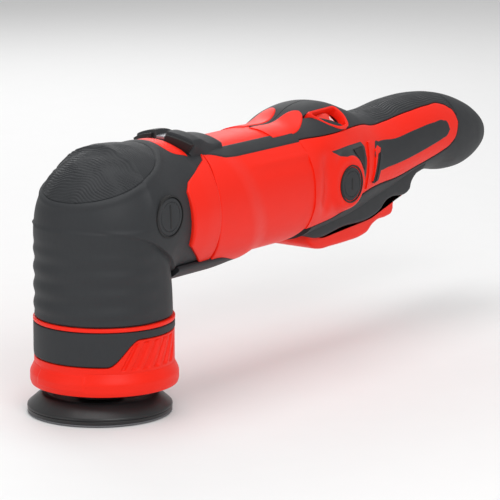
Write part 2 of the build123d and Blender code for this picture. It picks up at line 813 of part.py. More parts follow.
baffle_x = fan_x + fan_width + 2
with BuildPart() as fan_baffle:
    with BuildSketch(across(baffle_x, 0, body_height)):
        Circle(housing_inner)
        Circle(20, mode=Mode.SUBTRACT)
    extrude(amount=2)
keep(fan_baffle, "fan_baffle")

# ======== brush gear ========
brush_x = 175.6
brush_z = body_height - 2.5
brush_width = 6.0            # along the body
brush_height = 9.0
holder_wall = 1.5
holder_start = 12.4
holder_end = 26.0
carrier_tube = 16.0
carrier_bore = 13.6
flange_x = handle_start + 6
cap_radius = 9.5
cap_face = 31.6

carrier_blank = turned([
    (flange_x, carrier_bore),
    (flange_x, housing_inner),
    (flange_x + shell_wall, housing_inner),
    (flange_x + shell_wall, carrier_tube),
    (rear_bearing_x + rear_bearing_width + 2, carrier_tube),
    (rear_bearing_x + rear_bearing_width + 2, 0),
    (rear_bearing_x + rear_bearing_width, 0),
    (rear_bearing_x + rear_bearing_width, rear_bearing_outer),
    (rear_bearing_x, rear_bearing_outer),
    (rear_bearing_x, shaft_radius + 1),
    (rear_bearing_x - 1.5, shaft_radius + 1),
    (rear_bearing_x - 1.5, carrier_bore),
], motor_axis)

with BuildPart() as brush_holders:
    for hand in (-1, 1):
        with BuildSketch(Plane(origin=(brush_x, hand * holder_start, brush_z),
                               x_dir=(1, 0, 0), z_dir=(0, hand, 0))):
            Rectangle(brush_width + 2 * holder_wall, brush_height + 2 * holder_wall)
            Rectangle(brush_width + 0.2, brush_height + 0.2, mode=Mode.SUBTRACT)
        extrude(amount=holder_end - holder_start)
keep(brush_holders, "brush_holders")

brush_back = 20.0
with BuildPart() as carbon_brushes:
    for hand in (-1, 1):
        with BuildSketch(Plane(origin=(brush_x, 0, brush_z), x_dir=(1, 0, 0),
                               z_dir=(0, hand, 0))):
            Rectangle(brush_width, brush_height)
        extrude(amount=brush_back)
    with BuildSketch(across(brush_x - brush_width, 0, body_height)):
        Circle(commutator_radius + running_gap)
    extrude(amount=2 * brush_width, mode=Mode.SUBTRACT)
keep(carbon_brushes, "carbon_brushes")

spring_wire = 0.35
with BuildPart() as brush_springs:
    for hand in (-1, 1):
        start = Plane(origin=(brush_x, hand * (brush_back + spring_wire), brush_z),
                      x_dir=(1, 0, 0), z_dir=(0, hand, 0))
        coil = Helix(1.1, holder_end - brush_back - 2 * spring_wire, 2.2,
                     center=start.origin, direction=start.z_dir)
        with BuildSketch(Plane(origin=coil @ 0, z_dir=coil % 0)):
            Circle(spring_wire)
        sweep(path=coil)
keep(brush_springs, "brush_springs")

with BuildPart() as brush_caps:
    for hand in (-1, 1):
        with BuildSketch(Plane(origin=(brush_x, hand * holder_end, brush_z), x_dir=(1, 0, 0),
                               z_dir=(0, hand, 0))):
            Circle(cap_radius)
        extrude(amount=cap_face - holder_end)
        with Locations((brush_x, hand * cap_face, brush_z)):
            Box(1.4, 2.4, 7, mode=Mode.SUBTRACT)
keep(brush_caps, "brush_caps")

# ======== handle ========
def handle_body(inset):
    """Solid of the handle, with its surface drawn in by inset."""
    with BuildPart() as body:
        for x, top, bottom, half_width in handle_sections:
            half_height = (top - bottom) / 2
            if min(half_width, half_height) > inset + 1:
                inner_x = x - inset if x == handle_end else x
                with BuildSketch(across(inner_x, 0, (top + bottom) / 2)):
                    Ellipse(half_width - inset, half_height - inset)
        loft()
    return body


belly_half = trigger_width / 2 + 3.5
belly_start = handle_start + 4
belly_end = 254.0
belly_bottom = 67.5
belly_step = 76.0
pocket_front = 155.5
pocket_end = belly_end - 2.5
pocket_half = trigger_width / 2 + 1
pin_x = 246.0
pin_z = 80.0
pin_radius = 1.5


def belly_outline():
    """Belly above the trigger; it steps up towards the handle."""
    Polyline([(belly_start, belly_bottom), (218, belly_bottom + 1), (230, belly_step),
              (belly_end, belly_step), (belly_end, body_height), (belly_start, body_height)],
             close=True)


def belly_block(inset):
    """The belly as a solid, drawn in by inset at its sides."""
    with BuildPart() as block:
        with BuildSketch(side()):
            with BuildLine():
                belly_outline()
            make_face()
        extrude(amount=belly_half - inset, both=True)
    return block


def red_outline():
    """Side outline of the bare plastic: the flank and the loop along the handle."""
    upper = Spline((handle_start - 6, 124.5), (194, 124.5), (214, 122), (250, 124.5), (286, 125))
    turn = ThreePointArc(upper @ 1, (298, 114), (293, 101.5))
    lower = Spline(turn @ 1, (252, 92), (208, 88), (181, 80), (handle_start - 6, 75))
    Line(lower @ 1, upper @ 0)


def panel_outline():
    """Side outline of the rubber panel inside the loop."""
    top = Spline((206, 113.5), (232, 112.5), (258, 115), (285, 115.5))
    end = Line(top @ 1, (286.5, 108))
    low = Spline(end @ 1, (255, 100), (223, 97), (208, 98))
    Line(low @ 1, top @ 0)


boss_radius = 13.5


def vent_outline():
    """Side outline of the intake behind the brush cap's boss."""
    top = Line((160, 116.2), (193, 116.2))
    corner = ThreePointArc(top @ 1, (196.3, 112), (197, 106))
    back = Line(corner @ 1, (194.5, 91))
    low = ThreePointArc(back @ 1, (188, 84.5), (179, 80.5))
    front = ThreePointArc(low @ 1, (brush_x + boss_radius, brush_z), (176, brush_z + boss_radius))
    Line(front @ 1, top @ 0)


outer_body = handle_body(0.0)
skin_body = handle_body(rubber_skin)
inner_body = handle_body(rubber_skin + shell_wall)
red_region = side_region(red_outline)
panel_region = side_region(panel_outline)
vent_region = side_region(vent_outline)
core_wall = rubber_skin + shell_wall

# ---- speed dial: a wheel in a window on the left shoulder ----
dial_x = 171.0
dial_y = -20.0
dial_z = 130.8
dial_lean = math.radians(40)
dial_out = Vector(0, -math.sin(dial_lean), math.cos(dial_lean))
dial_turn = Vector(0, math.cos(dial_lean), math.sin(dial_lean))
dial_radius = 10.5
dial_half = 4.5
dial_recess = 1.4
window_plane = Plane(origin=(dial_x, dial_y, dial_z), x_dir=(1, 0, 0), z_dir=tuple(dial_out))
dial_centre = Vector(dial_x, dial_y, dial_z) - dial_out * (dial_radius + dial_recess)
wheel_plane = Plane(origin=tuple(dial_centre), x_dir=(1, 0, 0), z_dir=tuple(dial_turn))
bezel_depth = 5.0


def window_points(grow):
    """Five sided window, grown all round."""
    return [(-12.5 - grow * 1.6, 6.5 + grow), (11.5 + grow, 6.5 + grow),
            (11.0 + grow, -4.5 - grow), (5 + grow, -6.5 - grow), (-3 - grow, -5.0 - grow)]


with BuildPart() as dial_bezel:
    with BuildSketch(window_plane.offset(0.6)):
        with BuildLine():
            Polyline(window_points(0), close=True)
        make_face()
    extrude(amount=-bezel_depth)
    with BuildSketch(window_plane.offset(0.6)):
        with BuildLine():
            Polyline(window_points(-2), close=True)
        make_face()
    extrude(amount=-bezel_depth, mode=Mode.SUBTRACT)
    with BuildSketch(wheel_plane.offset(-dial_half - 0.4)):
        Circle(dial_radius + 0.4)
    extrude(amount=2 * dial_half + 0.8, mode=Mode.SUBTRACT)
keep(dial_bezel, "dial_bezel")

dial_shaft = 1.5
with BuildPart() as speed_dial:
    with BuildSketch(wheel_plane.offset(-dial_half)):
        Circle(dial_radius)
        Circle(dial_shaft + running_gap, mode=Mode.SUBTRACT)
        with PolarLocations(dial_radius + 0.3, 36, start_angle=5):
            Circle(0.6, mode=Mode.SUBTRACT)
    extrude(amount=2 * dial_half)
    with BuildSketch(wheel_plane.offset(-dial_half + 1.2)):
        Circle(dial_radius + 0.3)
        Circle(dial_radius - 2, mode=Mode.SUBTRACT)
    extrude(amount=2 * dial_half - 2.4)
keep(speed_dial, "speed_dial")

pot_depth = 4.0
with BuildPart() as dial_potentiometer:
    with BuildSketch(wheel_plane.offset(-dial_half - 0.3)):
        Circle(3.5)
    extrude(amount=-pot_depth)
    with BuildSketch(wheel_plane.offset(-dial_half - 0.3)):
        Circle(dial_shaft)
    extrude(amount=2 * dial_half)
keep(dial_potentiometer, "dial_potentiometer")

with BuildPart() as dial_space:
    with BuildSketch(wheel_plane.offset(-dial_half - 1)):
        Circle(dial_radius + 1.2)
    extrude(amount=2 * dial_half + 2)
    with BuildSketch(window_plane.offset(8)):
        with BuildLine():
            Polyline(window_points(0), close=True)
        make_face()
    extrude(amount=-8 - bezel_depth + 0.6)
    with BuildSketch(wheel_plane.offset(-dial_half)):
        Circle(4)
    extrude(amount=-pot_depth - 1)

with BuildPart() as brush_carrier:
    add(carrier_blank.part)
    with Locations((brush_x, 0, brush_z)):
        Box(brush_width + 2 * holder_wall, 3 * carrier_tube, brush_height + 2 * holder_wall,
            mode=Mode.SUBTRACT)
    add(dial_space.part, mode=Mode.SUBTRACT)
keep(brush_carrier, "brush_carrier")

# ---- cord gland at the tail ----
gland_z = (handle_sections[-1][1] + handle_sections[-1][2]) / 2
gland_bore = 3.4
gland_radius = 5.4
gland_start = handle_end - 9
gland_end = handle_end + 3
cord_gland = turned([
    (gland_start, gland_bore),
    (gland_start, gland_radius),
    (handle_end, gland_radius),
    (handle_end, gland_radius + 0.8),
    (gland_end - 1.5, gland_radius + 0.8),
    (gland_end, gland_radius - 0.4),
    (gland_end, gland_bore),
], Axis((0, 0, gland_z), (1, 0, 0)))
keep(cord_gland, "cord_gland")

# ---- holes that pass through shell and rubber ----
screw_spots = [(206, 119.0), (262, 120.5), (300, 93.0), (318, 112.0)]
screw_radius = 1.5
screw_boss = 3.5
screw_head = 2.8
screw_seat = 11.0

with BuildPart() as openings:
    with Locations(((pocket_front + pocket_end) / 2, 0, body_height - 36)):
        Box(pocket_end - pocket_front, 2 * pocket_half, 48)
    with Locations((brush_x, 0, brush_z)):
        Cylinder(cap_radius + 0.2, 3 * barrel_radius, rotation=(90, 0, 0))
    with BuildSketch(across(handle_start - 1, 0, body_height)):
        Circle(spigot_radius + spigot_gap)
    extrude(amount=spigot_length + 1)
    with BuildSketch(across(gland_start - 4, 0, gland_z)):
        Circle(gland_radius)
    extrude(amount=30)
    add(dial_space.part)
    with Locations((pin_x, 0, pin_z)):
        Cylinder(pin_radius, 2 * belly_half - 2, rotation=(90, 0, 0))
    for x, z in screw_spots:
        with Locations((x, screw_seat + 20, z)):
            Cylinder(screw_head + 0.2, 40, rotation=(90, 0, 0))

# air slots through the vent: two openings with a strut between them
with BuildPart() as vent_holes:
    with BuildSketch(side()):
        with BuildLine():
            Polyline([(182, 113), (193.5, 113), (194, 103), (190.5, 101)], close=True)
        make_face()
        with BuildLine():
            Polyline([(190.4, 97.5), (193.6, 97.5), (192.8, 90.5), (189.5, 88.5)], close=True)
        make_face()
    extrude(amount=60, both=True)

# slanted slots through the panel's front corner
slot_z = 101.0
with BuildPart() as panel_slots:
    with BuildSketch(side()):
        with Locations((207.5, slot_z), (213.5, slot_z + 1)):
            SlotOverall(16, 2.4, rotation=66)
    extrude(amount=60, both=True)


def half_space(hand):
    """Everything on one side of the seam; hand is -1 for the left."""
    with BuildPart() as half:
        with Locations((handle_start + 150, hand * 50, body_height)):
            Box(400, 100, 300)
    return half


with BuildPart() as vent_inserts:
    add(outer_body.part)
    add(skin_body.part, mode=Mode.SUBTRACT)
    add(vent_region.part, mode=Mode.INTERSECT)
    add(vent_holes.part, mode=Mode.SUBTRACT)
    add(openings.part, mode=Mode.SUBTRACT)
keep(vent_inserts, "vent_inserts")

for hand, side_name in ((-1, "left"), (1, "right")):
    half = half_space(hand)

    # rubber over the hump, the handle, the belly and the tail
    with BuildPart() as grip:
        add(outer_body.part)
        add(belly_block(0.0).part)
        add(skin_body.part, mode=Mode.SUBTRACT)
        add(belly_block(rubber_skin).part, mode=Mode.SUBTRACT)
        add(red_region.part, mode=Mode.SUBTRACT)
        add(openings.part, mode=Mode.SUBTRACT)
        add(half.part, mode=Mode.INTERSECT)
    keep(grip, f"grip_{side_name}")

    with BuildPart() as panel:
        add(outer_body.part)
        add(skin_body.part, mode=Mode.SUBTRACT)
        add(panel_region.part, mode=Mode.INTERSECT)
        add(panel_slots.part, mode=Mode.SUBTRACT)
        add(half.part, mode=Mode.INTERSECT)
    keep(panel, f"grip_panel_{side_name}")

    # plastic shell: a wall under the rubber, full height inside the red outline
    with BuildPart() as red_skin:
        add(outer_body.part)
        add(red_region.part, mode=Mode.INTERSECT)
        add(panel_region.part, mode=Mode.SUBTRACT)
        add(vent_region.part, mode=Mode.SUBTRACT)
    with BuildPart() as screw_bosses:
        for x, z in screw_spots:
            with Locations((x, 0, z)):
                Cylinder(screw_boss, 3 * barrel_radius, rotation=(90, 0, 0))
        add(skin_body.part, mode=Mode.INTERSECT)
    with BuildPart() as shell:
        add(skin_body.part)
        add(belly_block(rubber_skin).part)
        add(red_skin.part)
        add(inner_body.part, mode=Mode.SUBTRACT)
        add(screw_bosses.part)
        add(openings.part, mode=Mode.SUBTRACT)
        add(vent_holes.part, mode=Mode.SUBTRACT)
        add(panel_slots.part, mode=Mode.SUBTRACT)
        for x, z in screw_spots:
            with Locations((x, 0, z)):
                Cylinder(screw_radius, 2 * screw_seat, rotation=(90, 0, 0), mode=Mode.SUBTRACT)
        add(half.part, mode=Mode.INTERSECT)
    keep(shell, f"handle_shell_{side_name}")

with BuildPart() as handle_screws:
    for x, z in screw_spots:
        with Locations((x, 0, z)):
            Cylinder(screw_radius, 2 * screw_seat, rotation=(90, 0, 0))
        with Locations((x, screw_seat + 1, z)):
            Cylinder(screw_head, 2, rotation=(90, 0, 0))
keep(handle_screws, "handle_screws")

# ======== trigger and switch ========
trigger_front = 158.0
trigger_rim = 73.5
trigger_end = pocket_end - 0.8
trigger_wall = 2.5
post_x = 214.0
post_top = 78.6


def trigger_outline():
    """Side outline of the paddle: deep finger block, rise, short heel and tongue."""
    Polyline([(trigger_front, trigger_rim), (trigger_front, 64), (trigger_front + 4, 60),
              (trigger_front + 13, 57.5), (206, 58), (216, 60), (224, 64.5), (238, 66),
              (241, 68), (241.5, 74.5), (trigger_end, 75), (trigger_end, 77),
              (249, pin_z + 3), (243, pin_z + 3), (238, 76), (222, trigger_rim)], close=True)


with BuildPart() as trigger:
    with BuildSketch(side()):
        with BuildLine():
            trigger_outline()
        make_face()
    extrude(amount=trigger_width / 2, both=True)
    with BuildSketch(side()):
        with BuildLine():
            Polyline([(trigger_front + trigger_wall, 90), (trigger_front + trigger_wall, 66),
                      (trigger_front + 13, 60.5), (205, 61), (214, 62.5), (223, 67.5),
                      (237, 69), (238.5, 76.6), (trigger_end - 2, 76.6), (trigger_end - 2, 90)],
                     close=True)
        make_face()
    extrude(amount=trigger_width / 2 - trigger_wall, both=True, mode=Mode.SUBTRACT)
    with Locations((post_x, 0, (post_top + 61) / 2)):
        Box(6, 2 * (trigger_width / 2 - trigger_wall), post_top - 61)
    with Locations((pin_x, 0, pin_z)):
        Cylinder(pin_radius + running_gap, 2 * trigger_width, rotation=(90, 0, 0),
                 mode=Mode.SUBTRACT)
keep(trigger, "trigger")

with BuildPart() as trigger_pin:
    with Locations((pin_x, 0, pin_z)):
        Cylinder(pin_radius, 2 * belly_half - 2, rotation=(90, 0, 0))
keep(trigger_pin, "trigger_pin")

coil_turns = 8
with BuildPart() as trigger_spring:
    coil = Helix(1.2, 1.2 * coil_turns, 2.2, center=(pin_x, -0.6 * coil_turns, pin_z),
                 direction=(0, 1, 0))
    with BuildSketch(Plane(origin=coil @ 0, z_dir=coil % 0)):
        Circle(0.4)
    sweep(path=coil)
keep(trigger_spring, "trigger_spring")

switch_bottom = 90.0
plunger_radius = 2.5
plunger_gap = 0.4
plunger_inside = 4.0         # length of the plunger inside the switch at rest
plunger_rise = (pin_x - post_x) * math.tan(math.radians(trigger_travel))
with BuildPart() as switch_body:
    with Locations((post_x + 6, 0, switch_bottom + 9)):
        Box(30, 16, 18)
    fillet(switch_body.edges().filter_by(Axis.Z), 1)
    with BuildSketch(Plane.XY.offset(switch_bottom).move(Location((post_x, 0, 0)))):
        Circle(plunger_radius + running_gap)
    extrude(amount=plunger_inside + plunger_rise + 1.5, mode=Mode.SUBTRACT)
keep(switch_body, "switch_body")

with BuildPart() as switch_plunger:
    with BuildSketch(Plane.XY.offset(post_top + plunger_gap).move(Location((post_x, 0, 0)))):
        Circle(plunger_radius)
    extrude(amount=switch_bottom + plunger_inside - post_top - plunger_gap)
    fillet(switch_plunger.faces().sort_by(Axis.Z)[0].edges(), 0.8)
keep(switch_plunger, "switch_plunger")

board_z = 103.0
with BuildPart() as control_board:
    with Locations((282, 0, board_z)):
        Box(40, 26, 1.6)
    with Locations((270, -6, board_z + 5)):
        Box(10, 8, 8.4)
    with Locations((288, 5, board_z + 7)):
        Cylinder(4.5, 12.4)
    for fin in range(4):
        with Locations((272 + 3 * fin, 7, board_z + 4)):
            Box(1.2, 8, 6.4)
keep(control_board, "control_board")
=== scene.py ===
import json
import math
import bpy
from mathutils import Matrix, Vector
import numpy as np


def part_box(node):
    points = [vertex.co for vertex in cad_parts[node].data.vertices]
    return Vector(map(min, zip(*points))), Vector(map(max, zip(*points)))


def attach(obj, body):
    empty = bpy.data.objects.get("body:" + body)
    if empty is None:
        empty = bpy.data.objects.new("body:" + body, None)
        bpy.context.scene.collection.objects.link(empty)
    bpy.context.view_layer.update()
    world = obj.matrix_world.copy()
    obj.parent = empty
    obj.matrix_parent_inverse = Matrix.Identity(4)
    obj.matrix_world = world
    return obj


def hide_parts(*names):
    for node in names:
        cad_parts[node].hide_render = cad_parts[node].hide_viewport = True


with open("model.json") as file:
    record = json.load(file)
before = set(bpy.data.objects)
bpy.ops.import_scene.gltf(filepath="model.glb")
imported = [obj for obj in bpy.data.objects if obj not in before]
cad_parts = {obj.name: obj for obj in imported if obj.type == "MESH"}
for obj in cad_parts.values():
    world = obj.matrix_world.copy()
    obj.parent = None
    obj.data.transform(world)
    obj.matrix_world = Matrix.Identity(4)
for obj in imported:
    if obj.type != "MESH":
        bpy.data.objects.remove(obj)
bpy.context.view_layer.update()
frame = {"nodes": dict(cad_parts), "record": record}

print("packed model loaded")

# lengths are millimetres until a mesh is made; +X runs from the head to the tail, +Z is up
axisZ = 500 * (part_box("armature_shaft")[0][2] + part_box("armature_shaft")[1][2])
bootBottom = 1000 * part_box("head_boot")[0][2]
bootRadius = -1000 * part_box("head_boot")[0][0]
domeTop = 1000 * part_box("head_boot")[1][2]
plateCentre = 500 * (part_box("hook_disc")[0][0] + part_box("hook_disc")[1][0])


# meshes
def meshPiece(name, points, faces, body="housing", replaces=(), slot=None):
    # A piece from points in millimetres and its faces.
    mesh = bpy.data.meshes.new(name)
    mesh.from_pydata((np.asarray(points) / 1000).tolist(), [], faces)
    mesh.update()
    mesh.shade_smooth()
    mesh.set_sharp_from_angle(angle=math.radians(42))
    piece = bpy.data.objects.new(name, mesh)
    bpy.context.collection.objects.link(piece)
    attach(piece, body)
    if replaces:
        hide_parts(*replaces)
    if slot:
        piece.data.materials.append(finishes[slot])
    return piece


def gridFaces(rows, columns, aroundRows=False, aroundColumns=False, start=0):
    # Quads of a grid of rows by columns, counted row by row.
    r = np.arange(rows if aroundRows else rows - 1)[:, None]
    c = np.arange(columns if aroundColumns else columns - 1)[None, :]
    nextR, nextC = (r + 1) % rows, (c + 1) % columns
    quads = np.stack([r * columns + c, nextR * columns + c,
                      nextR * columns + nextC, r * columns + nextC], axis=-1)
    return (quads.reshape(-1, 4) + start).tolist()


def merged(*parts):
    # Several (points, faces) pairs as one.
    points, faces, count = [], [], 0
    for somePoints, someFaces in parts:
        points.append(np.asarray(somePoints).reshape(-1, 3))
        faces += [[index + count for index in face] for face in someFaces]
        count += len(points[-1])
    return np.concatenate(points), faces


def flipped(part):
    # The same part mirrored to the other side of the body.
    points, faces = part
    return np.asarray(points) * (1, -1, 1), [face[::-1] for face in faces]


def bothSides(part):
    return merged(part, flipped(part))


def lathe(profile, centre=(0, 0, 0), axis="z", count=96):
    # A closed profile of (along, radius) turned about an axis through centre.
    along, radius = np.array(profile, float).T
    turn = np.linspace(0, 2 * np.pi, count, endpoint=False)[:, None]
    c, s, a = radius * np.cos(turn), radius * np.sin(turn), along + 0 * turn
    points = {"z": (c, s, a), "x": (a, c, s), "y": (s, a, c)}[axis]
    points = np.stack(points, axis=-1) + np.array(centre)
    return points.reshape(-1, 3), [f[::-1] for f in gridFaces(count, len(profile), True, True)]


def roundedProfile(corners, radius, steps=4):
    # Closed profile with every corner rounded by a short quadratic curve.
    corners = np.array(corners, float)
    before, after = np.roll(corners, 1, 0), np.roll(corners, -1, 0)
    toBefore, toAfter = before - corners, after - corners
    lengths = [np.linalg.norm(d, axis=1, keepdims=True) for d in (toBefore, toAfter)]
    start = corners + toBefore / lengths[0] * np.minimum(radius, 0.45 * lengths[0])
    end = corners + toAfter / lengths[1] * np.minimum(radius, 0.45 * lengths[1])
    t = np.linspace(0, 1, steps)[None, :, None]
    curve = (1 - t) ** 2 * start[:, None] + 2 * t * (1 - t) * corners[:, None] + t ** 2 * end[:, None]
    return curve.reshape(-1, 2)


def through(points, count=120):
    # Smooth open curve through points, even along its length.
    points = np.array(points, float)
    run = np.r_[0, np.cumsum(np.linalg.norm(np.diff(points, axis=0), axis=1))]
    return np.stack([smooth(np.linspace(0, run[-1], count), run, points[:, k])
                     for k in range(points.shape[1])], axis=-1)


def smooth(x, xs, ys):
    # Cubic Hermite curve through (xs, ys) with slopes from the neighbours.
    xs, ys = np.array(xs, float), np.array(ys, float)
    slopes = np.gradient(ys, xs)
    x = np.clip(x, xs[0], xs[-1])
    k = np.clip(np.searchsorted(xs, x) - 1, 0, len(xs) - 2)
    width = xs[k + 1] - xs[k]
    t = (x - xs[k]) / width
    return ((1 + 2 * t) * (1 - t) ** 2 * ys[k] + t * (1 - t) ** 2 * width * slopes[k]
            + t * t * (3 - 2 * t) * ys[k + 1] + t * t * (t - 1) * width * slopes[k + 1])


def step(x, low, high):
    # Soft step from 0 at low to 1 at high.
    t = np.clip((x - low) / (high - low), 0, 1)
    return t * t * (3 - 2 * t)


def raised(shape, u, v, height):
    # Points of a shape, moved out along its normal by height.
    gap = 0.05
    normal = np.cross(shape(u + gap, v) - shape(u - gap, v), shape(u, v + gap) - shape(u, v - gap))
    normal /= np.linalg.norm(normal, axis=-1, keepdims=True) + 1e-12
    return shape(u, v) + normal * np.asarray(height)[..., None]


def skin(shape, edgeA, edgeB, height=0.0, rows=30, rim=0.8, wall=2.0, closed=False, relief=None,
         floorStep=5):
    # Closed strip on a shape from edgeA to edgeB, with rounded rims and walls going down.
    # Across the strip the distance from each edge follows rim * (1 - cos) while the height
    # follows rim * (1 - sin), then it runs straight; relief adds height between the rims.
    edgeA, edgeB = np.array(edgeA, float), np.array(edgeB, float)
    width = np.linalg.norm(shape(*edgeA.T) - shape(*edgeB.T), axis=-1)[:, None] + 1e-6
    arc = np.linspace(0, np.pi / 2, 5)
    soft = np.minimum(rim, 0.49 * width)
    near = soft * (1 - np.cos(arc))
    inner = soft + (width - 2 * soft) * np.linspace(0, 1, rows)[1:-1]
    place = np.concatenate([0 * width, near, inner, (width - near)[:, ::-1], width], axis=1)
    fall = -soft * (1 - np.sin(arc))
    flat = 0 * inner
    deep = 0 * width - wall
    lift = np.concatenate([deep, fall, flat, fall[:, ::-1], deep], axis=1)
    part = (place / width)[..., None]
    u, v = np.moveaxis(edgeA[:, None] * (1 - part) + edgeB[:, None] * part, -1, 0)
    top = lift + height
    if relief is not None:
        inside = step(np.minimum(place, width - place), 0.2, 2.0)
        top = np.where(lift > -wall, top + relief(u, v) * inside, top)
    upper = raised(shape, u, v, top)
    total = upper.shape[1]
    picks = np.unique(np.r_[0:total:floorStep, total - 1])
    lower = raised(shape, u[:, picks], v[:, picks], height - wall + 0 * u[:, picks])
    lower[:, 0], lower[:, -1] = upper[:, 0], upper[:, -1]
    count = len(upper)
    faces = gridFaces(count, total, closed)
    # the floor shares the first and last column of the upper grid
    index = np.arange(count * len(picks)).reshape(count, -1) + count * total
    index[:, 0] = np.arange(count) * total
    index[:, -1] = np.arange(count) * total + total - 1
    follow = np.roll(index, -1, 0) if closed else index[1:]
    these = index if closed else index[:-1]
    floor = np.stack([these[:, :-1], these[:, 1:], follow[:, 1:], follow[:, :-1]], axis=-1)
    faces += floor.reshape(-1, 4).tolist()
    if not closed:
        faces.append(np.r_[np.arange(total), index[0, 1:-1][::-1]].tolist())
        last = (count - 1) * total
        faces.append(np.r_[last + np.arange(total)[::-1], index[-1, 1:-1]].tolist())
    points = np.concatenate([upper.reshape(-1, 3), lower.reshape(-1, 3)])
    return dropLoose(points, faces)


def dropLoose(points, faces):
    # The same mesh without points that no face uses.
    used = np.unique(np.concatenate([np.array(face) for face in faces[-2:]]
                                    + [np.array([f for f in faces if len(f) == 4]).ravel()]))
    place = np.full(len(points), -1)
    place[used] = np.arange(len(used))
    return points[used], [place[np.array(face)].tolist() for face in faces]


def pillow(outline, halfWidth, rim, middle=0.0, steps=5):
    # A side outline given as (x, z), widened to both sides, with rounded edges.
    # The outline shrinks towards its own inside by rim * (1 - sin) while the width grows
    # by rim * cos, and each face is closed by a fan.
    outline = np.array(outline, float)
    ahead = np.roll(outline, -1, 0) - np.roll(outline, 1, 0)
    normal = np.stack([ahead[:, 1], -ahead[:, 0]], axis=-1)
    normal /= np.linalg.norm(normal, axis=1, keepdims=True) + 1e-9
    area = np.sum(outline[:, 0] * np.roll(outline[:, 1], -1) - np.roll(outline[:, 0], -1) * outline[:, 1])
    normal *= np.sign(area)
    angle = np.linspace(0, np.pi / 2, steps)
    shrink = np.r_[(rim * (1 - np.sin(angle))), (rim * (1 - np.sin(angle)))[::-1]]
    wide = np.r_[-halfWidth + rim - rim * np.cos(angle), (halfWidth - rim + rim * np.cos(angle))[::-1]]
    rings = outline[None] - normal[None] * shrink[:, None, None]
    points = np.stack([rings[..., 0], wide[:, None] + 0 * rings[..., 0] + middle, rings[..., 1]], -1)
    count = len(outline)
    faces = gridFaces(len(wide), count, False, True)
    points = points.reshape(-1, 3)
    first, last = list(range(count)), list(range((len(wide) - 1) * count, len(wide) * count))
    faces += [first, last[::-1]]
    if area > 0:
        faces = [face[::-1] for face in faces]
    return points, faces


# finishes
class Value:
    # One socket of a material, with the usual arithmetic.
    def __init__(self, maker, socket):
        self.maker, self.socket = maker, socket

    def maths(self, operation, *inputs):
        return self.maker.add("ShaderNodeMath", {"operation": operation}, inputs)

    def __add__(self, other):
        return self.maths("ADD", self, other)

    __radd__ = __add__

    def __sub__(self, other):
        return self.maths("SUBTRACT", self, other)

    def __rsub__(self, other):
        return self.maths("SUBTRACT", other, self)

    def __mul__(self, other):
        return self.maths("MULTIPLY", self, other)

    __rmul__ = __mul__


class Finish:
    # A material with one Principled shader; add puts in any other node.
    def __init__(self, name):
        self.material = bpy.data.materials.new(name)
        self.material.use_nodes = True
        self.tree = self.material.node_tree
        self.shader = self.tree.nodes["Principled BSDF"]
        self.place = self.add("ShaderNodeTexCoord", {}, {}, "Object")

    def add(self, kind, settings, inputs, output=0):
        node = self.tree.nodes.new(kind)
        for key, value in settings.items():
            setattr(node, key, value)
        for key, value in inputs.items() if isinstance(inputs, dict) else enumerate(inputs):
            if isinstance(value, Value):
                self.tree.links.new(value.socket, node.inputs[key])
            else:
                node.inputs[key].default_value = value
        return Value(self, node.outputs[output])

    def noise(self, size, detail=2.0, stretch=(1, 1, 1)):
        # Cloudy noise whose blobs are about size millimetres across.
        place = self.add("ShaderNodeMapping", {}, {"Vector": self.place, "Scale": stretch})
        return self.add("ShaderNodeTexNoise", {}, {"Vector": place, "Scale": 1000 / size,
                                                   "Detail": detail})

    def between(self, factor, first, second):
        return self.add("ShaderNodeMix", {"data_type": "RGBA"},
                        {0: factor, 6: (*first, 1), 7: (*second, 1)}, 2)

    def link(self, socket, value):
        self.tree.links.new(value.socket, self.shader.inputs[socket])

    def bumps(self, *layers):
        # Bump layers, each (height, depth in millimetres).
        normal = None
        for height, depth in layers:
            inputs = {"Height": height, "Distance": depth / 1000, "Strength": 1.0}
            if normal:
                inputs["Normal"] = normal
            normal = self.add("ShaderNodeBump", {}, inputs)
        self.link("Normal", normal)


def moulded(name, colour, roughness, grain=0.02, mottle=0.12, coat=0.0, fine=0.35, metallic=0.0,
            specular=0.5):
    # Moulded or cast surface: cloudy tone, fine grain, faint scuffs that change the gloss.
    finish = Finish(name)
    tone = finish.noise(22, 4)
    scuff = finish.noise(5, 6, (1, 4, 1))
    speck = finish.noise(fine, 2)
    dark = tuple(c * (1 - mottle) for c in colour)
    light = tuple(min(1, c * (1 + mottle) + 0.004) for c in colour)
    finish.link("Base Color", finish.between(tone * 0.75 + speck * 0.25, dark, light))
    finish.link("Roughness", scuff * 0.14 + tone * 0.06 + (roughness - 0.1))
    finish.bumps((speck, grain), (tone, grain * 6))
    finish.shader.inputs["Metallic"].default_value = metallic
    finish.shader.inputs["Coat Weight"].default_value = coat
    finish.shader.inputs["Coat Roughness"].default_value = 0.22
    finish.shader.inputs["Specular IOR Level"].default_value = specular
    return finish.material


def metal(name, colour, roughness, brushed=(1, 1, 1), grain=0.01, rings=False):
    # Metal with tool marks stretched one way, and slightly uneven gloss.
    finish = Finish(name)
    marks = finish.noise(1.6, 5, brushed)
    cloud = finish.noise(9, 3)
    dark = tuple(c * 0.72 for c in colour)
    finish.link("Base Color", finish.between(marks * 0.6 + cloud * 0.4, dark, colour))
    finish.link("Roughness", marks * 0.22 + cloud * 0.12 + (roughness - 0.17))
    layers = [(marks, grain)]
    if rings:
        wave = finish.add("ShaderNodeTexWave", {"bands_direction": "X"},
                          {"Vector": finish.place, "Scale": 620.0, "Distortion": 0.3})
        layers.append((wave, 0.12))
    finish.bumps(*layers)
    finish.shader.inputs["Metallic"].default_value = 1.0
    return finish.material


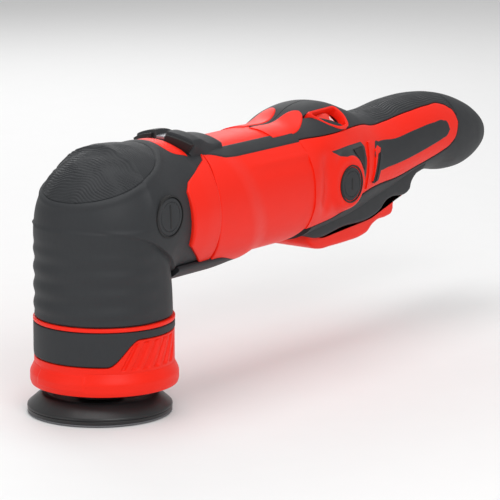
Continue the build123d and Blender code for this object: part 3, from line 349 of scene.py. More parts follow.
def boardFinish():
    # Green board with faint copper tracks under the lacquer.
    finish = Finish("circuitBoard")
    tracks = finish.add("ShaderNodeTexBrick", {}, {"Vector": finish.place, "Scale": 260.0,
                                                   "Mortar Size": 0.012}, "Fac")
    finish.link("Base Color", finish.between(tracks, (0.012, 0.11, 0.04), (0.05, 0.22, 0.09)))
    finish.bumps((tracks, 0.04), (finish.noise(0.6), 0.01))
    finish.shader.inputs["Roughness"].default_value = 0.35
    return finish.material


finishes = {
    "red_plastic": moulded("redPlastic", (0.93, 0.016, 0.003), 0.42, 0.008, 0.04, 0.0, 0.5, 0.0, 0.22),
    "dark_rubber": moulded("darkRubber", (0.022, 0.024, 0.027), 0.6, 0.02, 0.12, 0.0, 0.3, 0.0, 0.4),
    "black_plastic": moulded("blackPlastic", (0.018, 0.019, 0.021), 0.42, 0.012, 0.15, 0.1, 0.4),
    "plate_plastic": moulded("plateUrethane", (0.009, 0.009, 0.010), 0.4, 0.015, 0.2, 0.1, 0.5),
    "hook_fabric": moulded("hookFibres", (0.16, 0.16, 0.17), 0.85, 0.1, 0.3, 0.0, 0.5),
    "cast_aluminium": metal("castAluminium", (0.62, 0.63, 0.65), 0.46, (1, 1, 1), 0.05),
    "ground_steel": metal("groundSteel", (0.56, 0.57, 0.59), 0.3, (1, 1, 9)),
    "bearing_steel": metal("bearingSteel", (0.7, 0.71, 0.73), 0.24, (1, 1, 1), 0.004),
    "brass": metal("brassStrip", (0.72, 0.52, 0.22), 0.32, (6, 1, 1)),
    "copper": metal("enamelledCopper", (0.72, 0.33, 0.15), 0.34, (1, 1, 1), 0.01, True),
    "lamination": metal("laminatedSteel", (0.25, 0.25, 0.27), 0.48, (1, 1, 1), 0.01, True),
    "carbon": moulded("pressedCarbon", (0.03, 0.03, 0.032), 0.7, 0.05, 0.3, 0.0, 0.25),
    "circuit_board": boardFinish(),
    "dial_plastic": moulded("dialPlastic", (0.82, 0.025, 0.01), 0.4, 0.008, 0.05, 0.2, 0.5),
}
whiteInk = moulded("whiteInk", (0.85, 0.85, 0.83), 0.5, 0.01, 0.03)
# near-black colour for painted shade: it stands for the shadow inside holes, mouths, slots and gaps
paintedShadeBlack = moulded("paintedShadeBlack", (0.004, 0.004, 0.0045), 0.6, 0.01, 0.2)
brightMetal = metal("brightBridge", (0.5, 0.5, 0.53), 0.42, (1, 6, 1))

slotOf = {part["node"]: part["material_slot"] for part in frame["record"]["subparts"]}
for node, cadObject in frame["nodes"].items():
    cadObject.data.materials.clear()
    cadObject.data.materials.append(finishes[slotOf[node]])
print("finishes made")


# plate and lower head, turned about the spindle
plate = dict(radius=37.5, top=11.0, foam=3.2, holes=6, holeRadius=1.5, fibres=420)


def makePlate():
    # Urethane cone, foam, hook disc with fibres, and near-black wells in the holes as painted shade.
    r = plate["radius"]
    coneTop = r - (plate["top"] - plate["foam"])
    centre = (plateCentre, 0, 0)
    cone = roundedProfile([(3.2, 4.1), (3.2, r), (4.4, r), (plate["top"] - 0.4, coneTop + 0.6),
                           (plate["top"], coneTop - 2.5), (8, coneTop - 6), (8, 12), (16, 12),
                           (16, 4.1)], 0.8)
    meshPiece("backingPlate", *lathe(cone[::-1], centre, "z", 160), "plate", ["backing_plate"],
              "plate_plastic")
    foam = roundedProfile([(1.2, 7.5), (1.2, r - 0.2), (3.2, r - 0.1), (3.2, 7.5)], 0.5)
    meshPiece("plateFoam", *lathe(foam[::-1], centre, "z", 160), "plate", ["plate_foam"],
              "plate_plastic")
    hook = roundedProfile([(0.35, 7.5), (0.35, r - 0.3), (1.2, r - 0.1), (1.2, 7.5)], 0.3)
    hookParts = [lathe(hook[::-1], centre, "z", 120)]
    # short bent fibres around the rim, each a thin three sided hook
    draw = np.random.default_rng(7)
    turn = draw.uniform(0, 2 * np.pi, plate["fibres"])
    out = r - draw.uniform(0.0, 2.2, plate["fibres"])
    foot = np.stack([plateCentre + out * np.cos(turn), out * np.sin(turn),
                     draw.uniform(0.3, 1.4, plate["fibres"])], -1)
    lean = np.stack([np.cos(turn), np.sin(turn), draw.uniform(-1.2, 0.5, plate["fibres"])], -1)
    tip = foot + lean * draw.uniform(0.2, 0.55, (plate["fibres"], 1))
    tip[:, 2] = np.maximum(tip[:, 2], 0.05)
    around = np.stack([-np.sin(turn), np.cos(turn), 0 * turn], -1) * 0.09
    up = np.array([0, 0, 0.13])
    points = np.stack([foot - around, foot + around, foot + up, tip], 1).reshape(-1, 3)
    first = 4 * np.arange(plate["fibres"])[:, None, None]
    faces = (first + np.array([[0, 2, 1], [0, 1, 3], [1, 2, 3], [2, 0, 3]])[None]).reshape(-1, 3)
    hookParts.append((points, faces.tolist()))
    meshPiece("hookDisc", *merged(*hookParts), "plate", ["hook_disc"], "hook_fabric")
    # painted shade: near-black wells stand for the shadow inside the six holes through the cone
    wells = []
    for k in range(plate["holes"]):
        angle = math.radians(30 + 360 / plate["holes"] * k)
        radial = np.array([math.cos(angle), math.sin(angle), 0])
        across = np.array([-radial[1], radial[0], 0])
        normal = (radial + (0, 0, 1)) / math.sqrt(2)
        rise = np.cross(normal, across)
        t = np.linspace(0, 2 * np.pi, 25)[:-1, None]
        middle = np.array(centre) + radial * (r - 3.4) + np.array([0, 0, 6.6])
        ring = middle + plate["holeRadius"] * (across * np.cos(t) + rise * np.sin(t))
        top, low = ring + normal * 0.22, ring - normal * 0.8
        points = np.concatenate([top, low])
        faces = gridFaces(2, 24, False, True) + [list(range(24))[::-1], list(range(24, 48))]
        wells.append((points, [f[::-1] for f in faces]))
    piece = meshPiece("plateHoleShade", *merged(*wells), "plate")
    piece.data.materials.append(paintedShadeBlack)


makePlate()

lower = dict(ringLow=48.0, ringHigh=50.5, skirtLow=15.0, bandFront=30.0, bandSide=43.5,
             foot=70.0, shoulder=41.0)


def skirtRadius(z):
    # Straight sleeve, flaring to a lip near the bottom edge.
    return 36.2 + 2.2 * step(-z, -27, -20.5) - 0.5 * step(-z, -17.5, -15)


def lowerShape(turn, z):
    # Skirt and band: turn in degrees about the spindle, height z.
    r = skirtRadius(z)
    a = np.radians(turn)
    return np.stack([r * np.cos(a), r * np.sin(a), z], -1)


def bandEdge(turn):
    # Height where the dark band ends: low at the front, high along the sides.
    fromFront = np.abs((turn % 360) - 180)
    return lower["bandFront"] + (lower["bandSide"] - lower["bandFront"]) * step(
        fromFront, lower["shoulder"], lower["foot"])


def ventRelief(turn, z):
    # Slanted ribs inside a four sided field on each side, sunk below the skirt.
    side = np.abs((turn % 360) - 180)
    along = (side - 52) + (z - 28) * -0.9
    field = step(along, -0.5, 1.5) * step(z, 27.6, 29.0) * step(-z, -43.0, -41.0) * step(-side, -118, -114)
    ribs = 0.5 - 0.5 * np.cos(2 * np.pi * (along - 1.0) / 11.0)
    return field * (-1.3 + 1.25 * step(ribs, 0.35, 0.75))


def lipLines(turn, z):
    # A shallow step around the lip, a flat at the front and the side vents.
    front = np.abs((turn % 360) - 180)
    plaque = step(-front, -24, -22.5) * step(z, 17.4, 18.0) * step(-z, -25.6, -25.0)
    line = -0.22 * np.exp(-((z - 26.5) / 0.35) ** 2)
    return ventRelief(turn, z) + line * step(front, 24, 28) + 0.25 * plaque


def makeLowerHead():
    turn = np.linspace(0, 360, 481)[:-1]
    flat = 0 * turn
    top = np.stack([turn, bandEdge(turn) - 0.25], -1)
    skirt = skin(lowerShape, np.stack([turn, flat + lower["skirtLow"]], -1), top, rows=84,
                 rim=0.5, wall=2.4, closed=True, relief=lipLines, floorStep=12)
    meshPiece("skirt", *skirt, replaces=["skirt"], slot="red_plastic")
    low = np.stack([turn, bandEdge(turn) + 0.25], -1)
    high = np.stack([turn, flat + lower["ringLow"] - 0.2], -1)
    band = skin(lowerShape, low, high, 0.25, rows=26, rim=0.7, wall=2.0, closed=True)
    meshPiece("bootBand", *band, replaces=["boot_band"], slot="dark_rubber")
    ring = skin(lowerShape, np.stack([turn, flat + lower["ringLow"] + 0.1], -1),
                np.stack([turn, flat + lower["ringHigh"] - 0.3], -1), 0.35, rows=6, rim=0.6,
                wall=2.4, closed=True, floorStep=3)
    meshPiece("accentRing", *ring, replaces=["accent_ring"], slot="red_plastic")


makeLowerHead()
print("plate and skirt made")


# rubber boot of the head
boot = dict(tube=34.3, tubeRise=3.4, flank=36.0, domeFront=38.0, domeCentre=2.0, blend=9.0,
            pivotX=39.0, pivotZ=64.0, swing=92.0, runOn=16.0, wall=2.2, around=280, rings=270)
patch = dict(half=51.0, rear=54.5, lean=18.4, ripple=1.75, wall=2.0, rows=220)
patchLean = math.radians(patch["lean"])
patchAxis = np.array([-math.sin(patchLean), 0, math.cos(patchLean)])
patchCentre = np.array([boot["domeCentre"], 0, axisZ + 2])


def headField(p):
    # Distance-like field of the head: column, dome and tube blended together.
    x, y, z = np.moveaxis(p, -1, 0)
    column = np.maximum(np.hypot(x, y) - bootRadius, z - axisZ)
    rise = domeTop - axisZ - 0.2
    scale = np.stack([boot["domeFront"] + 0 * x, boot["flank"] + 0 * x, rise + 0 * x], -1)
    q = (p - np.array([boot["domeCentre"], 0, axisZ])) / scale
    dome = (np.linalg.norm(q, axis=-1) - 1) * boot["flank"]
    tall = boot["tube"] + boot["tubeRise"] * (1 - step(x, 40, 50))
    up = np.where(z > axisZ, (z - axisZ) * boot["tube"] / tall, z - axisZ)
    tube = np.maximum(np.hypot(y, up) - boot["tube"], -x)
    both = smoothUnion(smoothUnion(dome, tube, boot["blend"]), column, 3.0)
    return -smoothUnion(-both, boot["flank"] - np.abs(y), 2.0)


def smoothUnion(a, b, k):
    # Smaller of two distances, rounded over a width of k.
    h = np.clip(0.5 + 0.5 * (b - a) / k, 0, 1)
    return b * (1 - h) + a * h - k * h * (1 - h)


def castHead(origin, ray):
    # Where each ray from inside leaves the head, by halving.
    near, far = np.full(ray.shape[:-1], 2.0), np.full(ray.shape[:-1], 75.0)
    for _ in range(26):
        middle = (near + far) / 2
        inside = headField(origin + ray * middle[..., None]) < 0
        near, far = np.where(inside, middle, near), np.where(inside, far, middle)
    return origin + ray * near[..., None]


def creaseDrop(p):
    # Depth of the fold that sweeps from the front down to the collar on each side.
    x, z = p[..., 0], p[..., 2]
    line = smooth(x, [-46, -40, -27, -18, -10, 1, 6.7, 15.7, 23.2, 32, 40],
                  [104, 102.6, 99.5, 97.2, 94.8, 89.4, 85.8, 79.6, 74.6, 69, 65])
    deep = np.interp(x, [-44, -34, -24, -8, 5, 25, 40], [0.0, 0.1, 0.9, 1.9, 2.4, 2.6, 2.6])
    below = line - z
    return deep * step(below, -0.4, 1.1) * (0.2 + 0.8 * np.exp(-np.maximum(below, 0) / 8))


def frontWaves(p):
    # Shallow level waves around the front of the column.
    x, z = p[..., 0], p[..., 2]
    facing = step(-x, -8, 24)
    return 0.42 * np.cos(2 * np.pi * (z - 57) / 9.5) * facing * step(z, 51, 56) * step(-z, -95, -84)


def patchBead(p):
    # Bead around the rippled patch on the dome, and the seat under the patch.
    d = p - patchCentre
    d = d / (np.linalg.norm(d, axis=-1, keepdims=True) + 1e-9)
    angle = np.degrees(np.arccos(np.clip(d @ patchAxis, -1, 1)))
    backwards = d[..., 0] * math.cos(patchLean) + d[..., 2] * math.sin(patchLean)
    past = angle - patchLimit(np.arctan2(d[..., 1], backwards))
    return 0.75 * np.exp(-((past - 3.6) / 2.4) ** 2) - 0.9 * step(-past, -0.4, 1.2)


def patchLimit(around):
    # Half angle of the patch in a direction; it reaches a little further towards the rear.
    return patch["half"] + (patch["rear"] - patch["half"]) * step(np.cos(around), 0.2, 1.0)


def headPoint(origin, ray):
    # The head's surface with its waves, bead and fold.
    p = castHead(origin, ray)
    lift = frontWaves(p) + patchBead(p) - creaseDrop(p)
    return p + ray * lift[..., None]


def collarFront(turn):
    # Front edge of the collar, in X, against the angle up from the side.
    up = (turn + 180) % 360 - 180
    up = np.where(up > 90, 180 - up, np.where(up < -90, -180 - up, up))
    return np.interp(up, [-90, -60, -48, -40, -22, 0, 25, 33, 51, 60, 90],
                     [52, 52, 48.5, 43, 29.8, 28.9, 28.2, 32, 54.5, 58, 58])


def makeBoot():
    # Rings swing from level above the accent ring to upright, then run on under the hood.
    n, m = boot["rings"], boot["around"]
    s = np.linspace(0, 1, n)[:, None]
    turn = np.linspace(0, 2 * np.pi, m, endpoint=False)[None, :]
    straight, run = 0.13, 0.86
    full = np.radians(boot["swing"])
    swing = full * np.clip((s - straight) / (run - straight), 0, 1)
    pivot = np.array([boot["pivotX"], 0, boot["pivotZ"]])
    reach = boot["pivotX"] + (axisZ - boot["pivotZ"] - boot["pivotX"]) * swing / full
    first = np.stack([-np.cos(swing), 0 * swing, np.sin(swing)], -1)
    origin = pivot + first * reach[..., None]
    origin[..., 2] -= (boot["pivotZ"] - bootBottom - 0.4) * (1 - np.clip(s / straight, 0, 1))
    origin[..., 0] += boot["runOn"] * np.clip((s - run) / (1 - run), 0, 1)
    ray = first * np.cos(turn)[..., None] + np.array([0, 1, 0]) * np.sin(turn)[..., None]
    outer = headPoint(origin, ray)
    inner = outer - ray * boot["wall"]
    rimLow = outer[0] - ray[0] * 0.7
    rimLow[:, 2] = bootBottom - 0.05
    outer[0, :, 2] += 0.5
    points = np.concatenate([inner[:1], rimLow[None], outer, inner[-1:], inner[::12][::-1][:-1]])
    count = len(points)
    faces = gridFaces(count, m, True, True)
    return points.reshape(-1, 3), [f[::-1] for f in faces]


def makePatch():
    # Disc of directions from the dome's centre, with fine wavy ridges across it.
    n = patch["rows"]
    a, b = np.meshgrid(np.linspace(-1, 1, n), np.linspace(-1, 1, n), indexing="ij")
    x, y = a * np.sqrt(1 - b * b / 2), b * np.sqrt(1 - a * a / 2)
    radius, around = np.hypot(x, y), np.arctan2(y, x)
    angle = np.radians(radius * (patchLimit(around) + 0.6))
    back = np.array([math.cos(patchLean), 0, math.sin(patchLean)])
    ray = (patchAxis * np.cos(angle)[..., None] + back * (np.sin(angle) * np.cos(around))[..., None]
           + np.array([0, 1.0, 0]) * (np.sin(angle) * np.sin(around))[..., None])
    p = castHead(patchCentre + 0 * ray, ray)
    along, across = 37 * angle * np.cos(around), 37 * angle * np.sin(around)
    phase = (along + 1.3 * np.sin(across / 5.1) + 0.7 * np.sin(across / 2.3 + along / 6)) / patch["ripple"]
    ridge = np.abs(np.sin(np.pi * phase)) ** 0.8
    breaks = 0.75 + 0.25 * np.sin(across / 3.1 + 2.5 * np.sin(along / 3.7))
    edge = step(1 - radius, 0, 0.035)
    height = -0.75 + edge * (0.35 + 0.42 * ridge * breaks) + 0.2 * edge
    outer = p + ray * height[..., None]
    inner = p - ray * patch["wall"]
    faces = gridFaces(n, n) + [f[::-1] for f in gridFaces(n, n, start=n * n)]
    rim = np.r_[np.arange(n), np.arange(1, n) * n + n - 1, (n - 1) * n + np.arange(n - 1)[::-1],
                np.arange(1, n - 1)[::-1] * n]
    follow = np.roll(rim, -1)
    faces += np.stack([follow, rim, rim + n * n, follow + n * n], -1).tolist()
    return np.concatenate([outer.reshape(-1, 3), inner.reshape(-1, 3)]), [f[::-1] for f in faces]


meshPiece("headBoot", *makeBoot(), replaces=["head_boot"], slot="dark_rubber")
meshPiece("domePatch", *makePatch(), slot="dark_rubber")
print("head boot made")


# collar, hood and motor housing, around the motor axis
barrel = dict(radius=32.6, bulge=2.6, corner=2.45, railTop=43.0, railLow=26.5, rearSide=146.5)
crescent = dict(half=32.5, ends=45.4, depth=12.0, rear=48.5)


def frontSeam(turn):
    # X of the seam behind the collar: nearly upright on the side, and further back above and below.
    up = np.degrees(np.arcsin(np.sin(np.radians(turn))))
    return smooth(up, [-90, -50, -20, 5, 29, 52, 90], [58.5, 58, 54.6, 53.6, 54.4, 58, 58.4])


def rearSeam(turn):
    # X of the seam between the motor housing and the handle.
    up = np.sin(np.radians(turn))
    return barrel["rearSide"] - 21 * np.maximum(up, 0) ** 4 - 13 * np.maximum(-up, 0) ** 3


def barrelRadius(x, turn):
    # A slightly square tube that swells near the front, most of all low on its sides.
    c, s = np.abs(np.cos(np.radians(turn))), np.abs(np.sin(np.radians(turn)))
    n = barrel["corner"]
    square = (c ** n + s ** n) ** (-1 / n)
    low = np.sin(np.radians(turn))
    fade = step(-x, -(96 - 14 * low), -(78 - 14 * low))
    swell = barrel["bulge"] * fade * (1 - 0.75 * np.maximum(low, 0) ** 2)
    return barrel["radius"] * (1 + (square - 1) * 0.62) * (1 - 0.012 * c) + swell


def barrelShape(x, turn):
    # turn is 0 on the left side and 90 on top.
    r = barrelRadius(x, turn)
    a = np.radians(turn)
    return np.stack([x + 0 * a, -r * np.cos(a), axisZ + r * np.sin(a)], -1)


def collarShape(x, turn):
    a = np.radians(turn)
    level = np.cos(a) ** 2
    r = 34.9 + 1.3 * level - 1.0 * level * step(x, 40, 58) - 0.8 * np.maximum(np.sin(a), 0) ** 2
    return np.stack([x + 0 * a, -r * np.cos(a), axisZ + r * np.sin(a)], -1)


def makeCollar():
    turn = np.linspace(0, 360, 721)[:-1]
    front = np.stack([collarFront(turn) + 0.3, turn], -1)
    rear = np.stack([frontSeam(turn) - 0.15, turn], -1)
    rear[:, 0] = np.maximum(rear[:, 0], front[:, 0] + 1.6)
    part = skin(collarShape, front, rear, 0.5, rows=24, rim=1.3, wall=3.0, closed=True)
    # the crescent that shows between the dome and the hood
    around = 90 + crescent["half"] * np.sin(np.linspace(-np.pi / 2, np.pi / 2, 121))
    off = np.abs(around - 90) / crescent["half"]
    ahead = crescent["ends"] - crescent["depth"] * np.sqrt(np.clip(1 - off ** 7, 0, 1))
    behind = crescent["rear"] - 2.6 * off ** 6
    strip = skin(headTube, np.stack([ahead, around], -1), np.stack([behind, around], -1), 0.3,
                 rows=16, rim=0.9, wall=2.0)
    meshPiece("frontCollar", *merged(part, strip), replaces=["front_collar"], slot="red_plastic")


def headTube(x, turn):
    # The head's own surface, met by rays square to the motor axis.
    x, turn = np.broadcast_arrays(np.asarray(x, float), np.asarray(turn, float))
    a = np.radians(turn)
    origin = np.stack([x, 0 * a, axisZ + 0 * a], -1)
    return castHead(origin, np.stack([0 * a, -np.cos(a), np.sin(a)], -1))


def makeHousing():
    turn = np.linspace(0, 360, 541)[:-1]
    front = np.stack([frontSeam(turn) + 0.2, turn], -1)
    rear = np.stack([rearSeam(turn) - 0.2, turn], -1)

    def relief(x, t):
        # Long soft edge above and below the flat side, and a seat beside each rail.
        off = np.abs(t - 90)
        edge = np.exp(-((off - 56) / 3.5) ** 2) - 0.8 * np.exp(-((off - 64) / 5) ** 2)
        return 0.35 * edge * step(x, 84, 100) - 0.3 * np.exp(-((t + 44) / 5) ** 2) * step(x, 90, 104)

    part = skin(barrelShape, front, rear, 0.0, rows=110, rim=0.7, wall=2.6, closed=True,
                relief=relief, floorStep=14)
    meshPiece("motorHousing", *part, replaces=["motor_housing"], slot="red_plastic")
    along = np.linspace(0, 1, 160)
    x = 59.5 + (rearSeam(np.array(47.0)) - 1.2 - 59.5) * along
    lowEdge = 90 - barrel["railTop"] + 7.5 * step(-x, -74, -60) + 0 * x
    highEdge = 90 - barrel["railLow"] + 5.0 * step(-x, -80, -64)
    rail = skin(barrelShape, np.stack([x, lowEdge], -1), np.stack([x, highEdge], -1), 0.5, rows=14,
                rim=1.3, wall=2.2)
    meshPiece("topRails", *bothSides(rail), replaces=["top_rails"], slot="dark_rubber")
    x = np.linspace(30, 95, 90)
    spread = 44 - 16 * step(x, 62, 95)
    guard = skin(barrelShape, np.stack([x, -90 - spread], -1), np.stack([x, -90 + spread], -1),
                 1.3 - 1.4 * step(x, 66, 95)[:, None], rows=30, rim=1.2, wall=2.5)
    meshPiece("undersideGuard", *guard, replaces=["underside_guard"], slot="dark_rubber")


hood = dict(front=45.6, crest=51.0, end=70.0, height=7.2, half=33.0, notch=4.6, sweep=4.6)


def hoodRise(x, turn):
    # Height of the hood over the collar: steep front, crest, then a long fall to the rails.
    off = np.abs(turn - 90)
    front = step(x, hood["front"], hood["front"] + 2.6)
    tall = hood["height"] * front * (1 - 0.72 * step(x, hood["crest"] + 2, hood["end"] + 4))
    ends = 1 - 0.8 * step(off, hood["half"] - 7, hood["half"] + 1)
    notch = 1 - 0.42 * step(-off, -hood["notch"] - 0.8, -hood["notch"] + 0.8) * step(-x, -66, -58)
    return np.maximum(tall * ends * notch, 0.4)


def hoodShape(x, turn):
    # The collar's surface, swept back towards both ends of the hood.
    sweep = hood["sweep"] * ((turn - 90) / hood["half"]) ** 2 * step(-x, -68, -50)
    return collarShape(x + sweep, turn)


def makeHood():
    x = np.concatenate([np.linspace(hood["front"], 51, 40), np.linspace(51.4, 78, 70)])
    half = hood["half"] + 3.5 * step(x, 50, 58) - 5.5 * step(x, 60, 78)
    edgeA, edgeB = np.stack([x, 90 - half], -1), np.stack([x, 90 + half], -1)
    part = skin(hoodShape, edgeA, edgeB, 0.0, rows=150, rim=0.9, wall=2.2,
                relief=hoodRise, floorStep=10)
    meshPiece("ventHood", *part, replaces=["vent_hood"], slot="dark_rubber")
    # painted shade: a near-black strip under the front edge of each lobe stands for the shadow in the
    # exhaust mouth
    turn = np.linspace(hood["notch"] + 2.5, hood["half"] - 4, 40)
    t = 90 - turn[::-1]
    low = np.stack([hood["front"] - 0.4 + 0 * t, t], -1)
    high = np.stack([hood["front"] + 2.0 + 0 * t, t], -1)
    mouth = skin(hoodShape, low, high, 5.7, rows=8, rim=0.5, wall=6.0)
    mouth = meshPiece("hoodMouthShade", *bothSides(mouth))
    mouth.data.materials.append(paintedShadeBlack)
    # bright bridge on the floor of the notch
    t = np.linspace(90 - hood["notch"] + 0.6, 90 + hood["notch"] - 0.6, 24)
    low = np.stack([hood["front"] + 1.6 + 0 * t, t], -1)
    high = np.stack([hood["front"] + 12 + 0 * t, t], -1)
    bridge = skin(hoodShape, low, high, hood["height"] * 0.58 + 0.25, rows=20, rim=0.5, wall=2.0)
    bridge = meshPiece("notchBridge", *bridge)
    bridge.data.materials.append(brightMetal)


makeCollar()
makeHousing()
makeHood()
print("collar, hood and motor housing made")

# slotted plugs and brush caps
cap = dict(plugX=9.5, plugRadius=9.8, plugFace=36.3, brushX=175.6, brushRadius=9.3, brushFace=32.3)


def slottedCap(x, z, radius, face, slotWidth, slotLength, lean):
    # A round cap with a fine ring line; its slot and the seat ring around it are a second part, near-black
    # as painted shade.
    rings = [(face - 3.0, 0.0), (face - 3.0, radius), (face - 0.5, radius), (face, radius - 0.5),
             (face, radius - 1.9), (face - 0.25, radius - 2.1), (face - 0.25, radius - 2.3),
             (face + 0.1, radius - 2.6), (face + 0.22, radius * 0.4), (face + 0.25, 0.0)]
    points, faces = lathe([(-a, r) for a, r in rings], (x, 0, z), "y", 96)
    # painted shade: near-black ring for the gap around the cap
    ring = np.array([(face - 2.5, radius + 0.1), (face - 2.5, radius + 1.15), (face + 0.02, radius + 1.15),
                     (face + 0.12, radius + 0.75), (face + 0.02, radius + 0.35), (face - 1.4, radius + 0.1)])
    seat = lathe([(-a, r) for a, r in ring], (x, 0, z), "y", 96)
    # painted shade: near-black slot across the cap face, for the shadow in the slot
    t = np.linspace(0, 2 * np.pi, 33)[:-1]
    across = np.sign(np.cos(t)) * slotWidth / 2 * np.abs(np.cos(t)) ** 0.6
    along = np.sign(np.sin(t)) * slotLength / 2 * np.abs(np.sin(t)) ** 0.35
    tilt = math.radians(lean)
    outline = np.stack([x + across * math.cos(tilt) + along * math.sin(tilt),
                        z - across * math.sin(tilt) + along * math.cos(tilt)], -1)
    slot = pillow(outline, 1.2, 0.1, middle=-(face + 0.36 - 1.2))
    return (points, faces), merged(seat, slot)


def makeCaps():
    for name, x, z, radius, face, slot, lean in (
            ("sidePlugs", cap["plugX"], axisZ + 5.5, cap["plugRadius"], cap["plugFace"], 12.5, -4),
            ("brushCaps", cap["brushX"], axisZ - 2.5, cap["brushRadius"], cap["brushFace"], 6.5, 0)):
        body, dark = slottedCap(x, z, radius, face, 1.3, slot, lean)
        node = "side_plugs" if name == "sidePlugs" else "brush_caps"
        meshPiece(name, *bothSides(body), replaces=[node], slot="dark_rubber")
        # painted shade: the slot and the gap ring of each cap are near-black
        capShade = meshPiece(name + "SlotAndGapShade", *bothSides(dark))
        capShade.data.materials.append(paintedShadeBlack)


makeCaps()

# handle
handle = dict(
    x=[125.0, 146.0, 158.0, 172.0, 186.0, 200.0, 214.0, 236.0, 260.0, 284.0, 304.0, 318.0, 330.0,
       340.0, 345.5, 347.6],
    top=[130.4, 131.2, 136.5, 138.6, 137.0, 132.3, 127.2, 126.2, 129.0, 129.4, 126.9, 122.6, 117.2,
         110.4, 105.4, 102.0],
    low=[65.4, 65.4, 66.0, 67.0, 68.0, 70.0, 73.0, 77.5, 83.0, 85.2, 82.5, 83.0, 86.5, 91.5, 95.8,
         98.8],
    half=[32.6, 32.6, 32.3, 31.4, 29.7, 27.6, 25.6, 24.0, 23.0, 22.5, 21.5, 19.5, 16.5, 11.8, 7.0,
          3.2],
    corner=2.25, valleyX=155.0, bossRadius=12.6, bossFace=31.7)


def handleShape(x, turn):
    # Squarish oval sections; turn is 0 on the left side and 90 on top.
    x, turn = np.broadcast_arrays(np.asarray(x, float), np.asarray(turn, float))
    top, low, half = (smooth(x, handle["x"], handle[key]) for key in ("top", "low", "half"))
    a = np.radians(turn)
    c, s, n = np.cos(a), np.sin(a), handle["corner"]
    r = (np.abs(c) ** n + np.abs(s) ** n) ** (-1 / n)
    y, z = -half * r * c, (top + low) / 2 + (top - low) / 2 * r * s
    away = np.hypot(x - cap["brushX"], z - (axisZ - 2.5))
    flat = step(-away, -handle["bossRadius"] - 4.5, -handle["bossRadius"] + 0.6)
    walls = step(z, 77, 90) * step(-z, -121, -108)
    valley = np.exp(-((x - handle["valleyX"]) / 6.0) ** 2) + 0.6 * step(away, 13, 20) * step(
        -x, -206, -188) * step(x, 158, 170)
    y = y * (1 - 0.085 * valley * walls)
    return np.stack([x, y + (np.sign(y) * handle["bossFace"] - y) * flat, z], -1)


def turnAt(x, z):
    # Turn of the handle's left side at height z.
    table = np.linspace(-89, 89, 357)
    x, z = np.broadcast_arrays(np.asarray(x, float), np.asarray(z, float))
    heights = handleShape(x[..., None], table)[..., 2]
    return np.array([np.interp(q, h, table) for q, h in zip(z.ravel(), heights.reshape(-1, 357))]
                    ).reshape(z.shape)


loopX = [120, 146, 165, 194, 206, 215, 232, 254, 274, 286, 292.5, 296.4, 297.6]
loopTop = [123.0, 123.8, 124.3, 124.4, 123.2, 121.4, 121.6, 123.8, 125.0, 124.6, 121.8, 117.5, 112.6]
lowX = [120, 146, 158, 170, 181, 193, 203, 214, 234, 254, 269, 281, 290, 295, 297.6]
loopLow = [74.0, 74.6, 75.4, 76.8, 80.0, 85.0, 87.8, 88.8, 89.4, 92.0, 94.6, 97.6, 101.2, 106, 112.4]


def sideLine(x, xs, zs):
    # Chart points (x, turn) of a line on the side given by heights along X.
    return np.stack([x, turnAt(x, smooth(x, xs, zs))], -1)


def makeShell():
    # Red plastic: flank and loop on both sides over a plain core.
    ease = 1 - (1 - np.linspace(0, 1, 330)) ** 1.35
    edges = []
    for xs, zs in ((loopX, loopTop), (lowX, loopLow)):
        seam = rearSeam(turnAt(np.array(140.0), np.array(zs[1]))) + 0.25
        edges.append(sideLine(seam + (297.4 - seam) * ease, xs, zs))
    upper, lower = edges
    red = skin(handleShape, upper, lower, 0.15, rows=90, rim=0.9, wall=2.0, floorStep=12)
    x = np.linspace(147, 345, 170)
    core = skin(lambda u, v: windowed(u, v, 2.0), np.stack([x, 0 * x - 179.0], -1),
                np.stack([x, 0 * x + 179.0], -1), -3.4, rows=90, rim=0.3, wall=1.2)
    meshPiece("handleShell", *merged(red, flipped(red), core),
              replaces=["handle_shell_left", "handle_shell_right"], slot="red_plastic")


def gripRelief(x, turn):
    # Fine wavy ridges on top of the rear grip, inside a smooth bead, and a fold line.
    off = 90 - turn
    border = 26 + 10 * step(x, 232, 300)
    into = np.minimum((border + 24 - off) * 0.45, np.minimum(x - 224, 330 - x) * 0.5)
    ridges = np.abs(np.sin(np.pi * (off * 0.42 + 0.8 * np.sin(x / 6.5) + 0.25 * np.sin(x / 2.6)) / 1.7))
    field = step(into, 0.6, 2.0)
    bead = -0.55 * np.exp(-(into / 0.7) ** 2)
    return field * (0.34 * ridges ** 0.8 - 0.25) + bead


def windowed(x, turn, wider=0.0):
    # The handle's surface with a pocket for the speed dial behind the bezel.
    p = handleShape(x, turn)
    lean = math.radians(dial["lean"])
    d = p - np.array([dial["x"], dial["y"], dial["z"]])
    a, b = d[..., 0], d[..., 1] * math.cos(lean) + d[..., 2] * math.sin(lean)
    # three sides of the window: top, lower rear, lower front
    inside = np.minimum(np.minimum(6.4 - b, b + 6.6), np.minimum(
        (11.4 - a) * 0.97 + (b - 1) * 0.2, (a + 12.6) * 0.45 + (b - 5.0) * 0.9))
    drop = 12.5 * step(inside + wider, -1.2, 0.4) * (np.abs(d[..., 1]) < 20)
    return p + np.array([0, math.sin(lean), -math.cos(lean)]) * drop[..., None]


